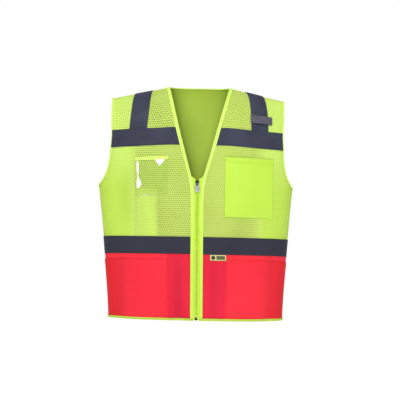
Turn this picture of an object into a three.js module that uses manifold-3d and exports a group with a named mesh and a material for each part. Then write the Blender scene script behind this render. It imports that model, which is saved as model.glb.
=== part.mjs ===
// High visibility vest with a separating zip: cloth panels on a torso-shaped shell, with reflective
// tapes, pockets, bindings and a microphone tab sewn on in layers.
// Millimetres. +X is the wearer's left, -Y is the front, +Z is up. Heights below are above the hem.
import * as THREE from "three";
import { mergeVertices } from "three/addons/utils/BufferGeometryUtils.js";
import Module from "manifold-3d";

const wasm = await Module();
wasm.setup();

// The body of the vest
const neckPointHeight = 688;
const hemHalfWidth = 257;
const chestHalfWidth = 288;
const frontDepth = 104;
const backDepth = 92;
const neckHalfWidth = 84.2;
const backNeckRise = 15; // how far the shoulder line would rise inside the neck
const backNeckDrop = 54; // along the cloth, from the shoulder line to the middle of the back neck
const shoulderDrop = 37;
const armholeInset = 33.4; // from the widest point in to the shoulder tip
const armholeDepth = 296.5;
const frontArmholeHollow = 7;
const capDrop = 168; // below the neck point, where the cloth starts to turn over the shoulder
const capArc = 200; // length of cloth from there to the shoulder line
const neckDepth = 272; // from the neck point to the foot of the V
const neckFootHalfWidth = 12.4;
const girthRoundness = 2.4; // exponent of the level section, 2 is an ellipse
const capRoundness = 1.7;
const flare = 1.3; // exponent of the widening from hem to armpit

// Cloth and layers
const clothThickness = 1;
const clearance = 0.3;
const layerGap = 0.6; // between one layer of cloth and the next
const bindingWidth = 3; // how far a binding stands past the edge that it covers
const bindingThickness = 2.4;

// Front opening: the wearer's right front folds back along a straight line from hem to neckline
const foldHemHalfWidth = 82;
const foldLean = 0.097; // how much nearer the middle the fold comes for each unit of height
const edgingWidth = 12;
const edgingHalfGap = 6; // from the middle of the zip to the edging
const edgingBlend = 6; // roundness of the turn from the zip into the V

// Zip
const toothPitch = 5;
const toothShare = 0.5; // of the pitch
const toothReach = 1.3;
const toothStop = 1.25; // from the middle to the tip of a tooth
const spineWidth = 1.5;
const chainThickness = 2.4;
const slider = { height: 14, topWidth: 11, footWidth: 8.6, plate: 1.6, postHalf: 0.5, postLength: 3 };
const sliderGap = 0.35;
const pull = { width: 12.5, length: 24.5, thickness: 1.5, eyeHalf: 2.6, eyeLength: 5.8, barHalf: 0.8, neck: 9 };
const pullBarHeight = 4.6; // above the slider's foot
const bail = { halfWidth: 1.9, foot: 1.3, roof: 1.05, play: 1.35 };
const stopLength = 2.2;
const boxLength = 9;
const boxWall = 0.6;
const pinLength = 22;
const zipFoot = 2; // from the hem to the retainer box

// Tapes
const tapeWidth = 50.8;
const chestTapeDrop = 123; // from the neck point to its top edge beside the V
const chestTapeFall = 11; // how much lower it ends at the armhole
const waistTapeDrop = 442;
const waistTapeFall = 6.6; // how much lower it lies at the side seam
const seamUnderTape = 24; // from the tape's top edge down to the seam that it covers
const backTapeCentre = 172;
const shoulderTape = {
  right: { top: 164, foot: 174.5 },
  left: { top: 168, foot: 183 },
};

// Pockets, label and facings
const chestPocket = { fromCentre: 81, fromTip: 31.6, drop: 207, height: 176, fall: 0.038 };
const idPocket = { fromCentre: 86, width: 95, drop: 206.7, height: 115, strip: 9.5, fall: 0.063 };
const filmThickness = 0.5;
const lowerPocket = { fromCentre: 88, belowTape: 16.2 };
const label = { fromCentre: 39, width: 47.5, height: 17.2, belowTape: 0.8 };
const facingFromCentre = 183;
const innerPocket = { fromCentre: 117, width: 56, drop: 306 };

// Microphone tab on the wearer's left shoulder
const tab = { fromCentre: 185.5, drop: 97, free: 32.5, width: 25, thickness: 1.4, sewn: 9, beyondTape: 3 };
const tabPatch = { length: 10, thickness: 0.7, inset: 1, fromEnd: 4 };

const level = {
  armpit: neckPointHeight - armholeDepth,
  cap: neckPointHeight - capDrop,
  shoulder: neckPointHeight - capDrop + capArc,
  neckFoot: neckPointHeight - neckDepth,
  chestTape: neckPointHeight - chestTapeDrop,
  waistTape: neckPointHeight - waistTapeDrop,
};
const tipHalfWidth = chestHalfWidth - armholeInset;
const shoulderSlope = shoulderDrop / (tipHalfWidth - neckHalfWidth);
const waistSeam = level.waistTape - seamUnderTape;
const layer = {
  shell: [0, clothThickness],
  under: [-layerGap - clothThickness, -layerGap],
  over: [clothThickness + layerGap, 2 * clothThickness + layerGap],
};

const looks = {
  lime: { color: 0xb4ee20, roughness: 0.85, metalness: 0 },
  mesh: { color: 0xc8e866, roughness: 0.9, metalness: 0 },
  red: { color: 0xf52c40, roughness: 0.8, metalness: 0 },
  tape: { color: 0x43434f, roughness: 0.45, metalness: 0 },
  binding: { color: 0xccff3c, roughness: 0.7, metalness: 0 },
  film: { color: 0xdfe8d0, roughness: 0.12, metalness: 0 },
  zip: { color: 0xbde83c, roughness: 0.5, metalness: 0 },
  black: { color: 0x151516, roughness: 0.35, metalness: 0.3 },
  steel: { color: 0xa9abb2, roughness: 0.3, metalness: 0.8 },
  strap: { color: 0x5f5c69, roughness: 0.8, metalness: 0 },
  label: { color: 0x2f3a2c, roughness: 0.8, metalness: 0 },
};

// --- The shape that the cloth lies on ---------------------------------------------------------

function signedPower(value, exponent) {
  return Math.sign(value) * Math.abs(value) ** exponent;
}

function clamp(value, low, high) {
  return Math.min(Math.max(value, low), high);
}

function halfWidthAt(height) {
  const share = clamp(height / level.armpit, 0, 1);
  return hemHalfWidth + (chestHalfWidth - hemHalfWidth) * share ** flare;
}

function shoulderHeight(x) {
  const past = Math.abs(x) - neckHalfWidth;
  if (past > 0) {
    return neckPointHeight - past * shoulderSlope;
  }
  return neckPointHeight + backNeckRise * (1 - (x / neckHalfWidth) ** 2);
}

// girth is in degrees round the body: 0 front middle, 90 wearer's left side, 180 back middle.
// rise is measured up the cloth: a height up to the cap, then along it to the shoulder line.
// Past the shoulder line it goes down the other side of the body.
function bodyPoint(girth, rise) {
  if (rise > level.shoulder) {
    return bodyPoint(180 - girth, 2 * level.shoulder - rise);
  }
  const sine = Math.sin(THREE.MathUtils.degToRad(girth));
  const cosine = Math.cos(THREE.MathUtils.degToRad(girth));
  const depth = cosine > 0 ? frontDepth : backDepth;
  const x = halfWidthAt(rise) * signedPower(sine, 2 / girthRoundness);
  const y = -depth * signedPower(cosine, 2 / girthRoundness);
  if (rise <= level.cap) {
    return new THREE.Vector3(x, y, rise);
  }
  const turn = ((rise - level.cap) / capArc) * (Math.PI / 2);
  const lift = Math.abs(Math.sin(turn)) ** (2 / capRoundness);
  const reach = Math.abs(Math.cos(turn)) ** (2 / capRoundness);
  return new THREE.Vector3(x, y * reach, level.cap + (shoulderHeight(x) - level.cap) * lift);
}

function bodyNormal(girth, rise) {
  const step = 0.2;
  const along = bodyPoint(girth + step, rise).sub(bodyPoint(girth - step, rise));
  const up = bodyPoint(girth, rise + step).sub(bodyPoint(girth, rise - step));
  return along.cross(up).normalize();
}

function girthAt(x, height, back = false) {
  const share = clamp(x / halfWidthAt(height), -1, 1);
  const angle = THREE.MathUtils.radToDeg(Math.asin(signedPower(share, girthRoundness / 2)));
  return back ? 180 - angle : angle;
}

function riseAt(x, height) {
  if (height <= level.cap) {
    return height;
  }
  const share = clamp((height - level.cap) / (shoulderHeight(x) - level.cap), 0, 1);
  return level.cap + (Math.asin(share ** (capRoundness / 2)) / (Math.PI / 2)) * capArc;
}

// --- Edges of panels, as girth for a rise or rise for a girth -----------------------------------

const edgeAt = (value) => () => value;

// edge gives x for a height
function edgeByX(edge, back = false) {
  return (rise) => {
    let girth = back ? 180 : 0;
    for (let pass = 0; pass < 8; pass += 1) {
      const height = bodyPoint(girth, rise).z;
      girth = girthAt(edge(height), height, back);
    }
    return girth;
  };
}

// edge gives a height for x
function edgeByHeight(edge) {
  return (girth) => {
    let rise = level.cap;
    for (let pass = 0; pass < 4; pass += 1) {
      const x = bodyPoint(girth, rise).x;
      rise = riseAt(x, edge(x));
    }
    return rise;
  };
}

function mirrored(edges) {
  return {
    left: (rise) => -edges.right(rise),
    right: (rise) => -edges.left(rise),
    low: (girth) => edges.low(-girth),
    high: (girth) => edges.high(-girth),
  };
}

const neckSlope = (neckHalfWidth - neckFootHalfWidth) / neckDepth;
const neckLineX = (height) => neckFootHalfWidth + (height - level.neckFoot) * neckSlope;

// The edging runs up beside the zip and turns smoothly into the V
function edgingInnerX(height) {
  const past = neckLineX(height) - edgingHalfGap;
  return edgingHalfGap + (past + Math.hypot(past, edgingBlend)) / 2;
}

const edgingOuterX = (height) => edgingInnerX(height) + edgingWidth;
const foldX = (height) => foldHemHalfWidth - foldLean * height;
const foldTop = (foldHemHalfWidth + neckSlope * level.neckFoot - neckFootHalfWidth) / (foldLean + neckSlope);

function armholeX(height, hollow, sharpness) {
  const tipHeight = shoulderHeight(tipHalfWidth);
  const share = clamp((height - level.armpit) / (tipHeight - level.armpit), 0, 1);
  return tipHalfWidth + armholeInset * (1 - share) ** sharpness - hollow * Math.sin(Math.PI * share ** 0.8);
}

const frontArmholeX = (height) => armholeX(height, frontArmholeHollow, 9);
const backArmholeX = (height) => armholeX(height, 0, 5);

// --- Solids ------------------------------------------------------------------------------------

const roundLines = Array.from({ length: 61 }, (_, step) => step * 7.5 - 90);
const neckLines = [0, 3.75, 11.25, girthAt(neckHalfWidth, level.cap)].flatMap((turn) => [180 - turn, 180 + turn]);
const girthLines = [...new Set([...roundLines, ...neckLines])].sort((a, b) => a - b);
const lowLines = [1, 2, 3, 4].map((quarter) => (level.armpit * quarter) / 4);
const armholeLines = [2.5, 8, 16, 28, 45, 68, 98].map((step) => level.armpit + step);
const capSteps = 11;
const capLines = Array.from({ length: capSteps + 1 }, (_, step) => level.cap + (step * capArc) / capSteps);
const farLines = capLines.map((rise) => 2 * level.shoulder - rise);
const riseLines = [...lowLines, ...armholeLines, ...capLines, ...farLines].sort((a, b) => a - b);

function linesBetween(lines, low, high) {
  const shortest = 0.4;
  return [low, ...lines.filter((line) => line > low + shortest && line < high - shortest), high];
}

// A piece of cloth of even thickness between four edges, as one closed solid
function sheet(edges, [inside, outside]) {
  const lows = girthLines.map(edges.low);
  const highs = girthLines.map(edges.high);
  const rows = linesBetween(riseLines, Math.min(...lows), Math.max(...highs));
  const lefts = rows.map(edges.left);
  const rights = rows.map(edges.right);
  const columns = linesBetween(girthLines, Math.min(...lefts), Math.max(...rights));
  const places = [];
  const seen = new Map();

  function placeIndex(column, row) {
    let girth = column;
    let rise = row;
    for (let pass = 0; pass < 6; pass += 1) {
      rise = clamp(row, edges.low(girth), edges.high(girth));
      girth = clamp(column, edges.left(rise), edges.right(rise));
    }
    const key = `${girth.toFixed(3)} ${rise.toFixed(3)}`;
    if (!seen.has(key)) {
      seen.set(key, places.length);
      places.push([girth, rise]);
    }
    return seen.get(key);
  }

  const grid = rows.map((row) => columns.map((column) => placeIndex(column, row)));
  const triangles = [];
  for (let row = 0; row + 1 < rows.length; row += 1) {
    for (let column = 0; column + 1 < columns.length; column += 1) {
      const a = grid[row][column];
      const b = grid[row][column + 1];
      const c = grid[row + 1][column + 1];
      const d = grid[row + 1][column];
      triangles.push([a, b, c], [a, c, d]);
    }
  }
  const flat = triangles.filter(([a, b, c]) => a !== b && b !== c && c !== a);
  return wallOff(places, flat, inside, outside);
}

// Doubles a layer of triangles into an inside and an outside face, and walls its open edges
function wallOff(places, flat, inside, outside) {
  const positions = [];
  for (const offset of [outside, inside]) {
    for (const [girth, rise] of places) {
      const point = bodyPoint(girth, rise).addScaledVector(bodyNormal(girth, rise), offset);
      positions.push(point.x, point.y, point.z);
    }
  }
  const under = places.length;
  const faces = [];
  const directed = new Set(flat.flatMap(([a, b, c]) => [`${a} ${b}`, `${b} ${c}`, `${c} ${a}`]));
  for (const [a, b, c] of flat) {
    faces.push(a, b, c, a + under, c + under, b + under);
    for (const [from, to] of [[a, b], [b, c], [c, a]]) {
      if (!directed.has(`${to} ${from}`)) {
        faces.push(to, from, from + under, to, from + under, to + under);
      }
    }
  }
  return indexedGeometry(positions, faces);
}

function indexedGeometry(positions, faces) {
  const geometry = new THREE.BufferGeometry();
  geometry.setAttribute("position", new THREE.Float32BufferAttribute(positions, 3));
  geometry.setIndex(faces);
  geometry.computeVertexNormals();
  return geometry;
}

// An outline in x and height, standing from y = -depth to y = 0
function uprightPlate(points, depth, holes = []) {
  const shape = new THREE.Shape(points.map(([x, height]) => new THREE.Vector2(x, height)));
  for (const hole of holes) {
    shape.holes.push(new THREE.Path(hole.map(([x, height]) => new THREE.Vector2(x, height))));
  }
  const geometry = new THREE.ExtrudeGeometry(shape, { depth, bevelEnabled: false });
  return geometry.rotateX(Math.PI / 2);
}

function block(x, y, z) {
  const geometry = new THREE.BoxGeometry(x[1] - x[0], y[1] - y[0], z[1] - z[0]);
  return geometry.translate((x[0] + x[1]) / 2, (y[0] + y[1]) / 2, (z[0] + z[1]) / 2);
}

function toManifold(geometry) {
  const bare = geometry.clone();
  bare.deleteAttribute("normal");
  bare.deleteAttribute("uv");
  const merged = mergeVertices(bare, 1e-4);
  return new wasm.Manifold(new wasm.Mesh({
    numProp: 3,
    vertProperties: new Float32Array(merged.attributes.position.array),
    triVerts: new Uint32Array(merged.index.array),
  }));
}

function joined(geometries) {
  const whole = geometries.map(toManifold).reduce((sum, piece) => sum.add(piece));
  const mesh = whole.getMesh();
  return indexedGeometry(Array.from(mesh.vertProperties), Array.from(mesh.triVerts));
}

const vest = new THREE.Group();
const body = new THREE.Group(); // heights above the hem
body.position.z = -(neckPointHeight - shoulderDrop / 2);
vest.add(body);

function addPiece(name, geometry, look, parent = body) {
  const mesh = new THREE.Mesh(geometry, new THREE.MeshStandardMaterial(look));
  mesh.name = name;
  parent.add(mesh);
  return mesh;
}

// Makes the wearer's left piece and its mirror image on the wearer's right
function addPair(name, edges, offsets, look) {
  addPiece(`left_${name}`, sheet(edges, offsets), look);
  addPiece(`right_${name}`, sheet(mirrored(edges), offsets), look);
}

// --- Shell panels --------------------------------------------------------------------------------

const hemLine = edgeAt(bindingWidth + clearance);
const shoulderLine = edgeAt(level.shoulder - clearance / 2);
const sideGap = 0.15; // degrees short of the side seam
const besideZip = (height) => edgingInnerX(height) + 2.3;
const foldInner = (height) => foldX(height) - clearance / 2;
const foldOuter = (height) => foldX(height) + clearance / 2;

// Outside the fold, a front ends at the fold below the V and at the neckline above it
const foldOrNeckX = (height) => Math.max(foldOuter(height), besideZip(height));
const frontSideX = (height) => (height < level.armpit ? halfWidthAt(height) : frontArmholeX(height));
const flapTop = foldTop - 8; // where the neckline has nearly met the fold

function shortOfSeam(edge) {
  return (rise) => Math.min(edge(rise), 90 - sideGap);
}

function addFrontPanels() {
  const side = shortOfSeam(edgeByX(frontSideX));
  const bands = [
    ["front_mesh", looks.mesh, { low: edgeAt(waistSeam + clearance), high: shoulderLine }],
    ["front_lower_panel", looks.red, { low: hemLine, high: edgeAt(waistSeam) }],
  ];
  for (const [name, look, band] of bands) {
    const whole = { ...band, left: edgeByX(besideZip), right: side };
    const outer = { ...whole, left: edgeByX(foldOrNeckX) };
    const high = (girth) => Math.min(band.high(girth), flapTop);
    const flap = { ...whole, right: edgeByX(foldInner), high };
    addPiece(`left_${name}`, sheet(whole, layer.shell), look);
    addPiece(`right_${name}`, sheet(mirrored(outer), layer.shell), look);
    addPiece(`right_${name}_flap`, sheet(mirrored(flap), layer.shell), look);
  }
}

const backSide = edgeByX((height) => (height < level.armpit ? halfWidthAt(height) : backArmholeX(height)), true);
const backLeft = (rise) => Math.max(backSide(rise), 90 + sideGap);
const backRight = (rise) => 360 - backLeft(rise);

function backNeckRiseAt(girth) {
  const x = bodyPoint(girth, level.cap).x;
  const share = clamp(1 - (x / neckHalfWidth) ** 2, 0, 1);
  return level.shoulder - clearance / 2 - backNeckDrop * share;
}

function addBackPanels() {
  const sides = { left: backLeft, right: backRight };
  const upper = { ...sides, low: edgeAt(waistSeam + clearance), high: backNeckRiseAt };
  addPiece("back_upper_panel", sheet(upper, layer.shell), looks.lime);
  const lower = { ...sides, low: hemLine, high: edgeAt(waistSeam) };
  addPiece("back_lower_panel", sheet(lower, layer.shell), looks.red);
}

// --- Reflective tapes ------------------------------------------------------------------------------

function chestTapeTop(x) {
  const share = clamp((Math.abs(x) - neckHalfWidth) / (tipHalfWidth - neckHalfWidth), 0, 1);
  return level.chestTape - chestTapeFall * share;
}

function waistTapeTop(girth) {
  const fromFront = Math.min(Math.abs(girth), Math.abs(girth - 360), 90);
  return level.waistTape - waistTapeFall * (fromFront / 90) ** 2;
}

const waistTapeFoot = (girth) => waistTapeTop(girth) - tapeWidth;
const besideEdging = (height) => edgingOuterX(height) + clearance;

function addChestTapes() {
  const low = edgeByHeight((x) => chestTapeTop(x) - tapeWidth);
  const high = edgeByHeight(chestTapeTop);
  const front = {
    left: edgeByX(besideEdging),
    right: edgeByX((height) => frontArmholeX(height) - clearance),
    low,
    high,
  };
  addPair("chest_tape", front, layer.over, looks.tape);
  const side = edgeByX((height) => backArmholeX(height) - clearance, true);
  const back = { left: side, right: (rise) => 360 - side(rise), low, high };
  addPiece("back_chest_tape", sheet(back, layer.over), looks.tape);
}

function addWaistTapes() {
  const edges = { low: waistTapeFoot, high: waistTapeTop };
  const whole = { ...edges, left: edgeByX(besideEdging), right: edgeAt(90 - sideGap) };
  const outer = { ...whole, left: edgeByX(foldOuter) };
  const flap = { ...whole, right: edgeByX(foldInner) };
  addPiece("left_waist_tape", sheet(whole, layer.over), looks.tape);
  addPiece("right_waist_tape", sheet(mirrored(outer), layer.over), looks.tape);
  addPiece("right_waist_tape_flap", sheet(mirrored(flap), layer.over), looks.tape);
  const back = { ...edges, left: edgeAt(90 + sideGap), right: edgeAt(270 - sideGap) };
  addPiece("back_waist_tape", sheet(back, layer.over), looks.tape);
}

// Middle of a shoulder tape, from the chest tape in front to the one behind
function shoulderTapeMiddle(rise, { top, foot }) {
  const start = riseAt(foot, chestTapeTop(foot));
  const end = 2 * level.shoulder - start;
  if (rise < level.shoulder) {
    return foot + (top - foot) * clamp((rise - start) / (level.shoulder - start), 0, 1);
  }
  return top + (backTapeCentre - top) * clamp((rise - level.shoulder) / (end - level.shoulder), 0, 1);
}

function addShoulderTapes() {
  const start = edgeByHeight((x) => chestTapeTop(x) + clearance);
  for (const [side, place] of Object.entries(shoulderTape)) {
    const middle = (rise) => shoulderTapeMiddle(rise, place);
    const edges = {
      left: (rise) => girthAt(middle(rise) - tapeWidth / 2, level.cap),
      right: (rise) => girthAt(middle(rise) + tapeWidth / 2, level.cap),
      low: start,
      high: (girth) => 2 * level.shoulder - start(girth),
    };
    const shape = sheet(side === "left" ? edges : mirrored(edges), layer.over);
    addPiece(`${side}_shoulder_tape`, shape, looks.tape);
  }
}

// --- Pockets, facings and label ----------------------------------------------------------------------

function addChestPocket() {
  const { fromCentre, fromTip, drop, height, fall } = chestPocket;
  const top = neckPointHeight - drop;
  const edges = {
    left: edgeByX(edgeAt(fromCentre)),
    right: edgeByX(edgeAt(tipHalfWidth - fromTip)),
    low: edgeByHeight((x) => top - height - (fall / 2) * (Math.abs(x) - fromCentre)),
    high: edgeByHeight((x) => top - fall * (Math.abs(x) - fromCentre)),
  };
  addPiece("chest_pocket", sheet(edges, layer.over), looks.lime);
}

function addIdPocket() {
  const { fromCentre, width, drop, height, strip, fall } = idPocket;
  const top = (x) => neckPointHeight - drop - fall * (Math.abs(x) - fromCentre);
  const film = {
    left: edgeByX(edgeAt(fromCentre)),
    right: edgeByX(edgeAt(fromCentre + width)),
    low: edgeByHeight((x) => top(x) - height),
    high: edgeByHeight((x) => top(x) - strip - clearance),
  };
  const start = layer.over[0];
  const filmShape = sheet(mirrored(film), [start, start + filmThickness]);
  addPiece("id_pocket_film", filmShape, looks.film);
  const binding = { ...film, low: edgeByHeight((x) => top(x) - strip), high: edgeByHeight(top) };
  addPiece("id_pocket_strip", sheet(mirrored(binding), layer.over), looks.binding);
}

function addLowerPockets() {
  const edges = {
    left: edgeByX(edgeAt(lowerPocket.fromCentre)),
    right: edgeAt(90 - sideGap),
    low: hemLine,
    high: (girth) => waistTapeFoot(girth) - lowerPocket.belowTape,
  };
  addPair("lower_pocket", edges, layer.over, looks.red);
}

function addLabel() {
  const { fromCentre, width, height, belowTape } = label;
  const edges = {
    left: edgeByX(edgeAt(fromCentre)),
    right: edgeByX(edgeAt(fromCentre + width)),
    low: (girth) => waistTapeFoot(girth) - belowTape - height,
    high: (girth) => waistTapeFoot(girth) - belowTape,
  };
  addPiece("label", sheet(edges, layer.over), looks.label);
}

// Solid cloth behind the mesh: a facing down each side and one narrow inside pocket
function addInsides() {
  const facing = {
    left: edgeByX(edgeAt(facingFromCentre)),
    right: shortOfSeam(edgeByX((height) => frontSideX(height) - 2)),
    low: edgeAt(waistSeam + clearance),
    high: edgeByHeight((x) => chestTapeTop(x) - tapeWidth / 2),
  };
  addPair("side_facing", facing, layer.under, looks.lime);
  const pocket = {
    left: edgeByX(edgeAt(innerPocket.fromCentre)),
    right: edgeByX(edgeAt(innerPocket.fromCentre + innerPocket.width)),
    low: edgeAt(waistSeam + clearance),
    high: edgeAt(neckPointHeight - innerPocket.drop),
  };
  addPiece("inner_pocket", sheet(mirrored(pocket), layer.under), looks.lime);
}

// --- Edging and bindings --------------------------------------------------------------------------------

function addEdgings() {
  const across = { left: edgeByX(edgingInnerX), right: edgeByX(edgingOuterX) };
  const whole = { ...across, low: edgeAt(0), high: shoulderLine };
  const crossing = foldTop - edgingWidth / (foldLean + neckSlope); // where the fold enters the edging
  const neckX = (height) => Math.max(edgingInnerX(height), foldOuter(height));
  const neck = { ...whole, left: edgeByX(neckX), low: edgeAt(crossing + 3) };
  const flapX = (height) => Math.min(edgingOuterX(height), foldInner(height));
  const flap = { ...whole, right: edgeByX(flapX), high: edgeAt(flapTop) };
  addPiece("left_edging", sheet(whole, layer.over), looks.binding);
  addPiece("right_neck_edging", sheet(mirrored(neck), layer.over), looks.binding);
  addPiece("right_edging_flap", sheet(mirrored(flap), layer.over), looks.binding);
}

function addBackNeckBinding() {
  const reach = girthAt(neckHalfWidth + edgingWidth, level.cap);
  const edges = {
    left: edgeAt(180 - reach),
    right: edgeAt(180 + reach),
    low: (girth) => backNeckRiseAt(girth) - edgingWidth,
    high: backNeckRiseAt,
  };
  addPiece("back_neck_binding", sheet(edges, layer.over), looks.binding);
}

const bindingDepth = [
  (clothThickness - bindingThickness) / 2,
  (clothThickness + bindingThickness) / 2,
];

function addHemBindings() {
  const besideTape = edgeByX((height) => besideZip(height) + clearance);
  const round = {
    left: besideTape,
    right: (rise) => 360 - edgeByX(foldOuter)(rise),
    low: edgeAt(0),
    high: edgeAt(bindingWidth),
  };
  const offsets = [bindingDepth[0], clothThickness];
  addPiece("hem_binding", sheet(round, offsets), looks.binding);
  const flap = { ...round, right: edgeByX(foldInner) };
  addPiece("hem_binding_flap", sheet(mirrored(flap), offsets), looks.binding);
}

// Points round one armhole, up the front edge and down the back edge, with the cloth's normal
function armholeLoop() {
  const rows = [level.armpit, ...riseLines.filter((rise) => rise > level.armpit && rise < level.shoulder)];
  const front = edgeByX(frontArmholeX);
  const back = edgeByX(backArmholeX, true);
  const up = rows.map((rise) => [Math.min(front(rise), 90), rise]);
  const down = rows.slice(1).reverse().map((rise) => [Math.max(back(rise), 90), rise]);
  const tip = [girthAt(tipHalfWidth, level.cap), level.shoulder];
  return [...up, tip, ...down].map(([girth, rise]) => ({
    point: bodyPoint(girth, rise),
    normal: bodyNormal(girth, rise),
  }));
}

function addArmholeBindings() {
  const loop = armholeLoop();
  const count = loop.length;
  const positions = [];
  const faces = [];
  loop.forEach(({ point, normal }, index) => {
    const ahead = loop[(index + 1) % count].point;
    const behind = loop[(index + count - 1) % count].point;
    const along = ahead.clone().sub(behind).normalize();
    const out = along.clone().cross(normal).normalize();
    for (const [past, lift] of [[0, 0], [1, 0], [1, 1], [0, 1]]) {
      const corner = point.clone();
      corner.addScaledVector(out, past * bindingWidth + clearance);
      corner.addScaledVector(normal, bindingDepth[lift]);
      positions.push(corner.x, corner.y, corner.z);
    }
    const start = index * 4;
    const next = ((index + 1) % count) * 4;
    for (let side = 0; side < 4; side += 1) {
      const turn = (side + 1) % 4;
      faces.push(start + side, next + turn, start + turn, start + side, next + side, next + turn);
    }
  });
  addPiece("left_armhole_binding", outward(positions, faces), looks.binding);
  const flipped = positions.map((value, index) => (index % 3 === 0 ? -value : value));
  addPiece("right_armhole_binding", outward(flipped, faces), looks.binding);
}

// Turns a closed solid's faces round if they point inwards
function outward(positions, faces) {
  const corner = (index) => new THREE.Vector3().fromArray(positions, index * 3);
  let volume = 0;
  for (let face = 0; face < faces.length; face += 3) {
    const [a, b, c] = faces.slice(face, face + 3).map(corner);
    volume += a.dot(b.cross(c));
  }
  if (volume > 0) {
    return indexedGeometry(positions, faces);
  }
  const turned = faces.slice();
  for (let face = 0; face < turned.length; face += 3) {
    [turned[face], turned[face + 1]] = [turned[face + 1], turned[face]];
  }
  return indexedGeometry(positions, turned);
}

// --- Zip ---------------------------------------------------------------------------------------------------

const spineStart = toothStop + toothReach;
const spineEnd = spineStart + spineWidth;
const chainMiddle = -(frontDepth + clothThickness / 2);
const chainFront = chainMiddle - chainThickness / 2;
const zipTop = level.neckFoot - 2.6;
const sliderTop = zipTop - stopLength - 2 * clearance;
const sliderFoot = sliderTop - slider.height;
const boxTop = zipFoot + boxLength;

function addZipTapes() {
  const edges = {
    left: edgeByX(edgeAt(spineEnd + clearance)),
    right: edgeByX((height) => besideZip(height) - clearance),
    low: edgeAt(zipFoot),
    high: edgeByHeight((x) => zipTop + (Math.abs(x) - spineEnd) * 0.7),
  };
  addPair("zip_tape", edges, layer.shell, looks.zip);
}

// One side's row of teeth on its cord, as an outline; side is 1 or -1
function toothRow(side, foot, shift) {
  const top = sliderTop;
  const points = [[side * spineEnd, foot], [side * spineStart, foot]];
  const tooth = toothPitch * toothShare;
  for (let height = foot + shift; height + tooth < top; height += toothPitch) {
    points.push([side * spineStart, height], [side * toothStop, height + tooth * 0.2]);
    points.push([side * toothStop, height + tooth * 0.8], [side * spineStart, height + tooth]);
  }
  points.push([side * spineStart, top], [side * spineEnd, top]);
  return uprightPlate(points, chainThickness);
}

function addTeeth() {
  const back = chainFront + chainThickness;
  const leftFoot = zipFoot + clearance + pinLength + clearance;
  const rightFoot = boxTop + clearance;
  const shift = toothPitch / 4;
  const left = addPiece("left_zip_teeth", toothRow(1, leftFoot, shift), looks.zip);
  const meshShift = shift + toothPitch / 2 + ((leftFoot - rightFoot) % toothPitch);
  const right = addPiece("right_zip_teeth", toothRow(-1, rightFoot, meshShift), looks.zip);
  left.position.y = back;
  right.position.y = back;
}

function addStops() {
  const depth = [chainFront, chainFront + chainThickness];
  const height = [sliderTop + clearance, sliderTop + clearance + stopLength];
  addPiece("left_top_stop", block([toothStop, spineEnd], depth, height), looks.black);
  addPiece("right_top_stop", block([-spineEnd, -toothStop], depth, height), looks.black);
}

// The box holds the wearer's right chain and stands in front of the pin, which leaves it backwards
function addPinAndBox() {
  const depth = [chainFront + clearance, chainFront + chainThickness - clearance];
  const height = [zipFoot + clearance, zipFoot + clearance + pinLength];
  addPiece("insertion_pin", block([toothStop, spineEnd], depth, height), looks.zip);
  const front = chainFront - boxWall;
  const back = chainFront + chainThickness + boxWall;
  const outline = [
    [-spineEnd, front], [spineEnd, front], [spineEnd, front + boxWall],
    [slider.postHalf, front + boxWall], [slider.postHalf, back], [-spineEnd, back],
  ];
  const shape = new THREE.Shape(outline.map(([x, y]) => new THREE.Vector2(x, y)));
  const box = new THREE.ExtrudeGeometry(shape, { depth: boxLength, bevelEnabled: false });
  const mesh = addPiece("retainer_box", box, looks.black);
  mesh.position.z = zipFoot;
}

const plateFront = chainFront - sliderGap;
const pullAxis = new THREE.Vector3(0, plateFront - slider.plate - bail.play, sliderFoot + pullBarHeight);

function addSlider() {
  const { height, topWidth, footWidth, plate, postHalf, postLength } = slider;
  const top = topWidth / 2;
  const foot = footWidth / 2;
  const waist = height * 0.6;
  const wing = [[-top, height], [-top, waist], [-foot, 0]];
  const outline = [...wing, [foot, 0], [top, waist], [top, height]];
  const front = uprightPlate(outline, plate).translate(0, plateFront, sliderFoot);
  // The rear plate stops at the post, so that this front can swing away with the slider up
  const plateBack = chainFront + chainThickness + sliderGap;
  const rear = uprightPlate([...wing, [postHalf, 0], [postHalf, height]], plate);
  rear.translate(0, plateBack + plate, sliderFoot);
  const post = block([-postHalf, postHalf], [plateFront - plate / 2, plateBack + plate / 2],
    [sliderTop - postLength, sliderTop]);
  const roofBack = pullAxis.y - bail.play;
  const sunk = plateFront - slider.plate / 2;
  const across = [-bail.halfWidth, bail.halfWidth];
  const lowFoot = [pullAxis.z - bail.play - bail.foot, pullAxis.z - bail.play];
  const highFoot = [pullAxis.z + bail.play, pullAxis.z + bail.play + bail.foot];
  const feet = [lowFoot, highFoot].map((span) => block(across, [roofBack - bail.roof, sunk], span));
  const roof = block(across, [roofBack - bail.roof, roofBack], [lowFoot[0], highFoot[1]]);
  addPiece("zip_slider", joined([front, rear, post, ...feet, roof]), looks.black);
}

function addPull() {
  const { width, length, thickness, eyeHalf, eyeLength, barHalf, neck } = pull;
  const shoulder = barHalf + eyeLength * 0.7;
  const outline = [
    [-neck / 2, barHalf], [-neck / 2, -shoulder], [-width / 2, -shoulder - 1.5], [-width / 2, -length],
    [width / 2, -length], [width / 2, -shoulder - 1.5], [neck / 2, -shoulder], [neck / 2, barHalf],
  ];
  const eye = [
    [-eyeHalf, -barHalf], [eyeHalf, -barHalf],
    [eyeHalf, -barHalf - eyeLength], [-eyeHalf, -barHalf - eyeLength],
  ];
  const shape = uprightPlate(outline, thickness, [eye]).translate(0, thickness / 2, 0);
  const mesh = addPiece("zip_pull", shape, looks.steel);
  mesh.position.copy(pullAxis);
}

// --- Microphone tab ------------------------------------------------------------------------------------------

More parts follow.
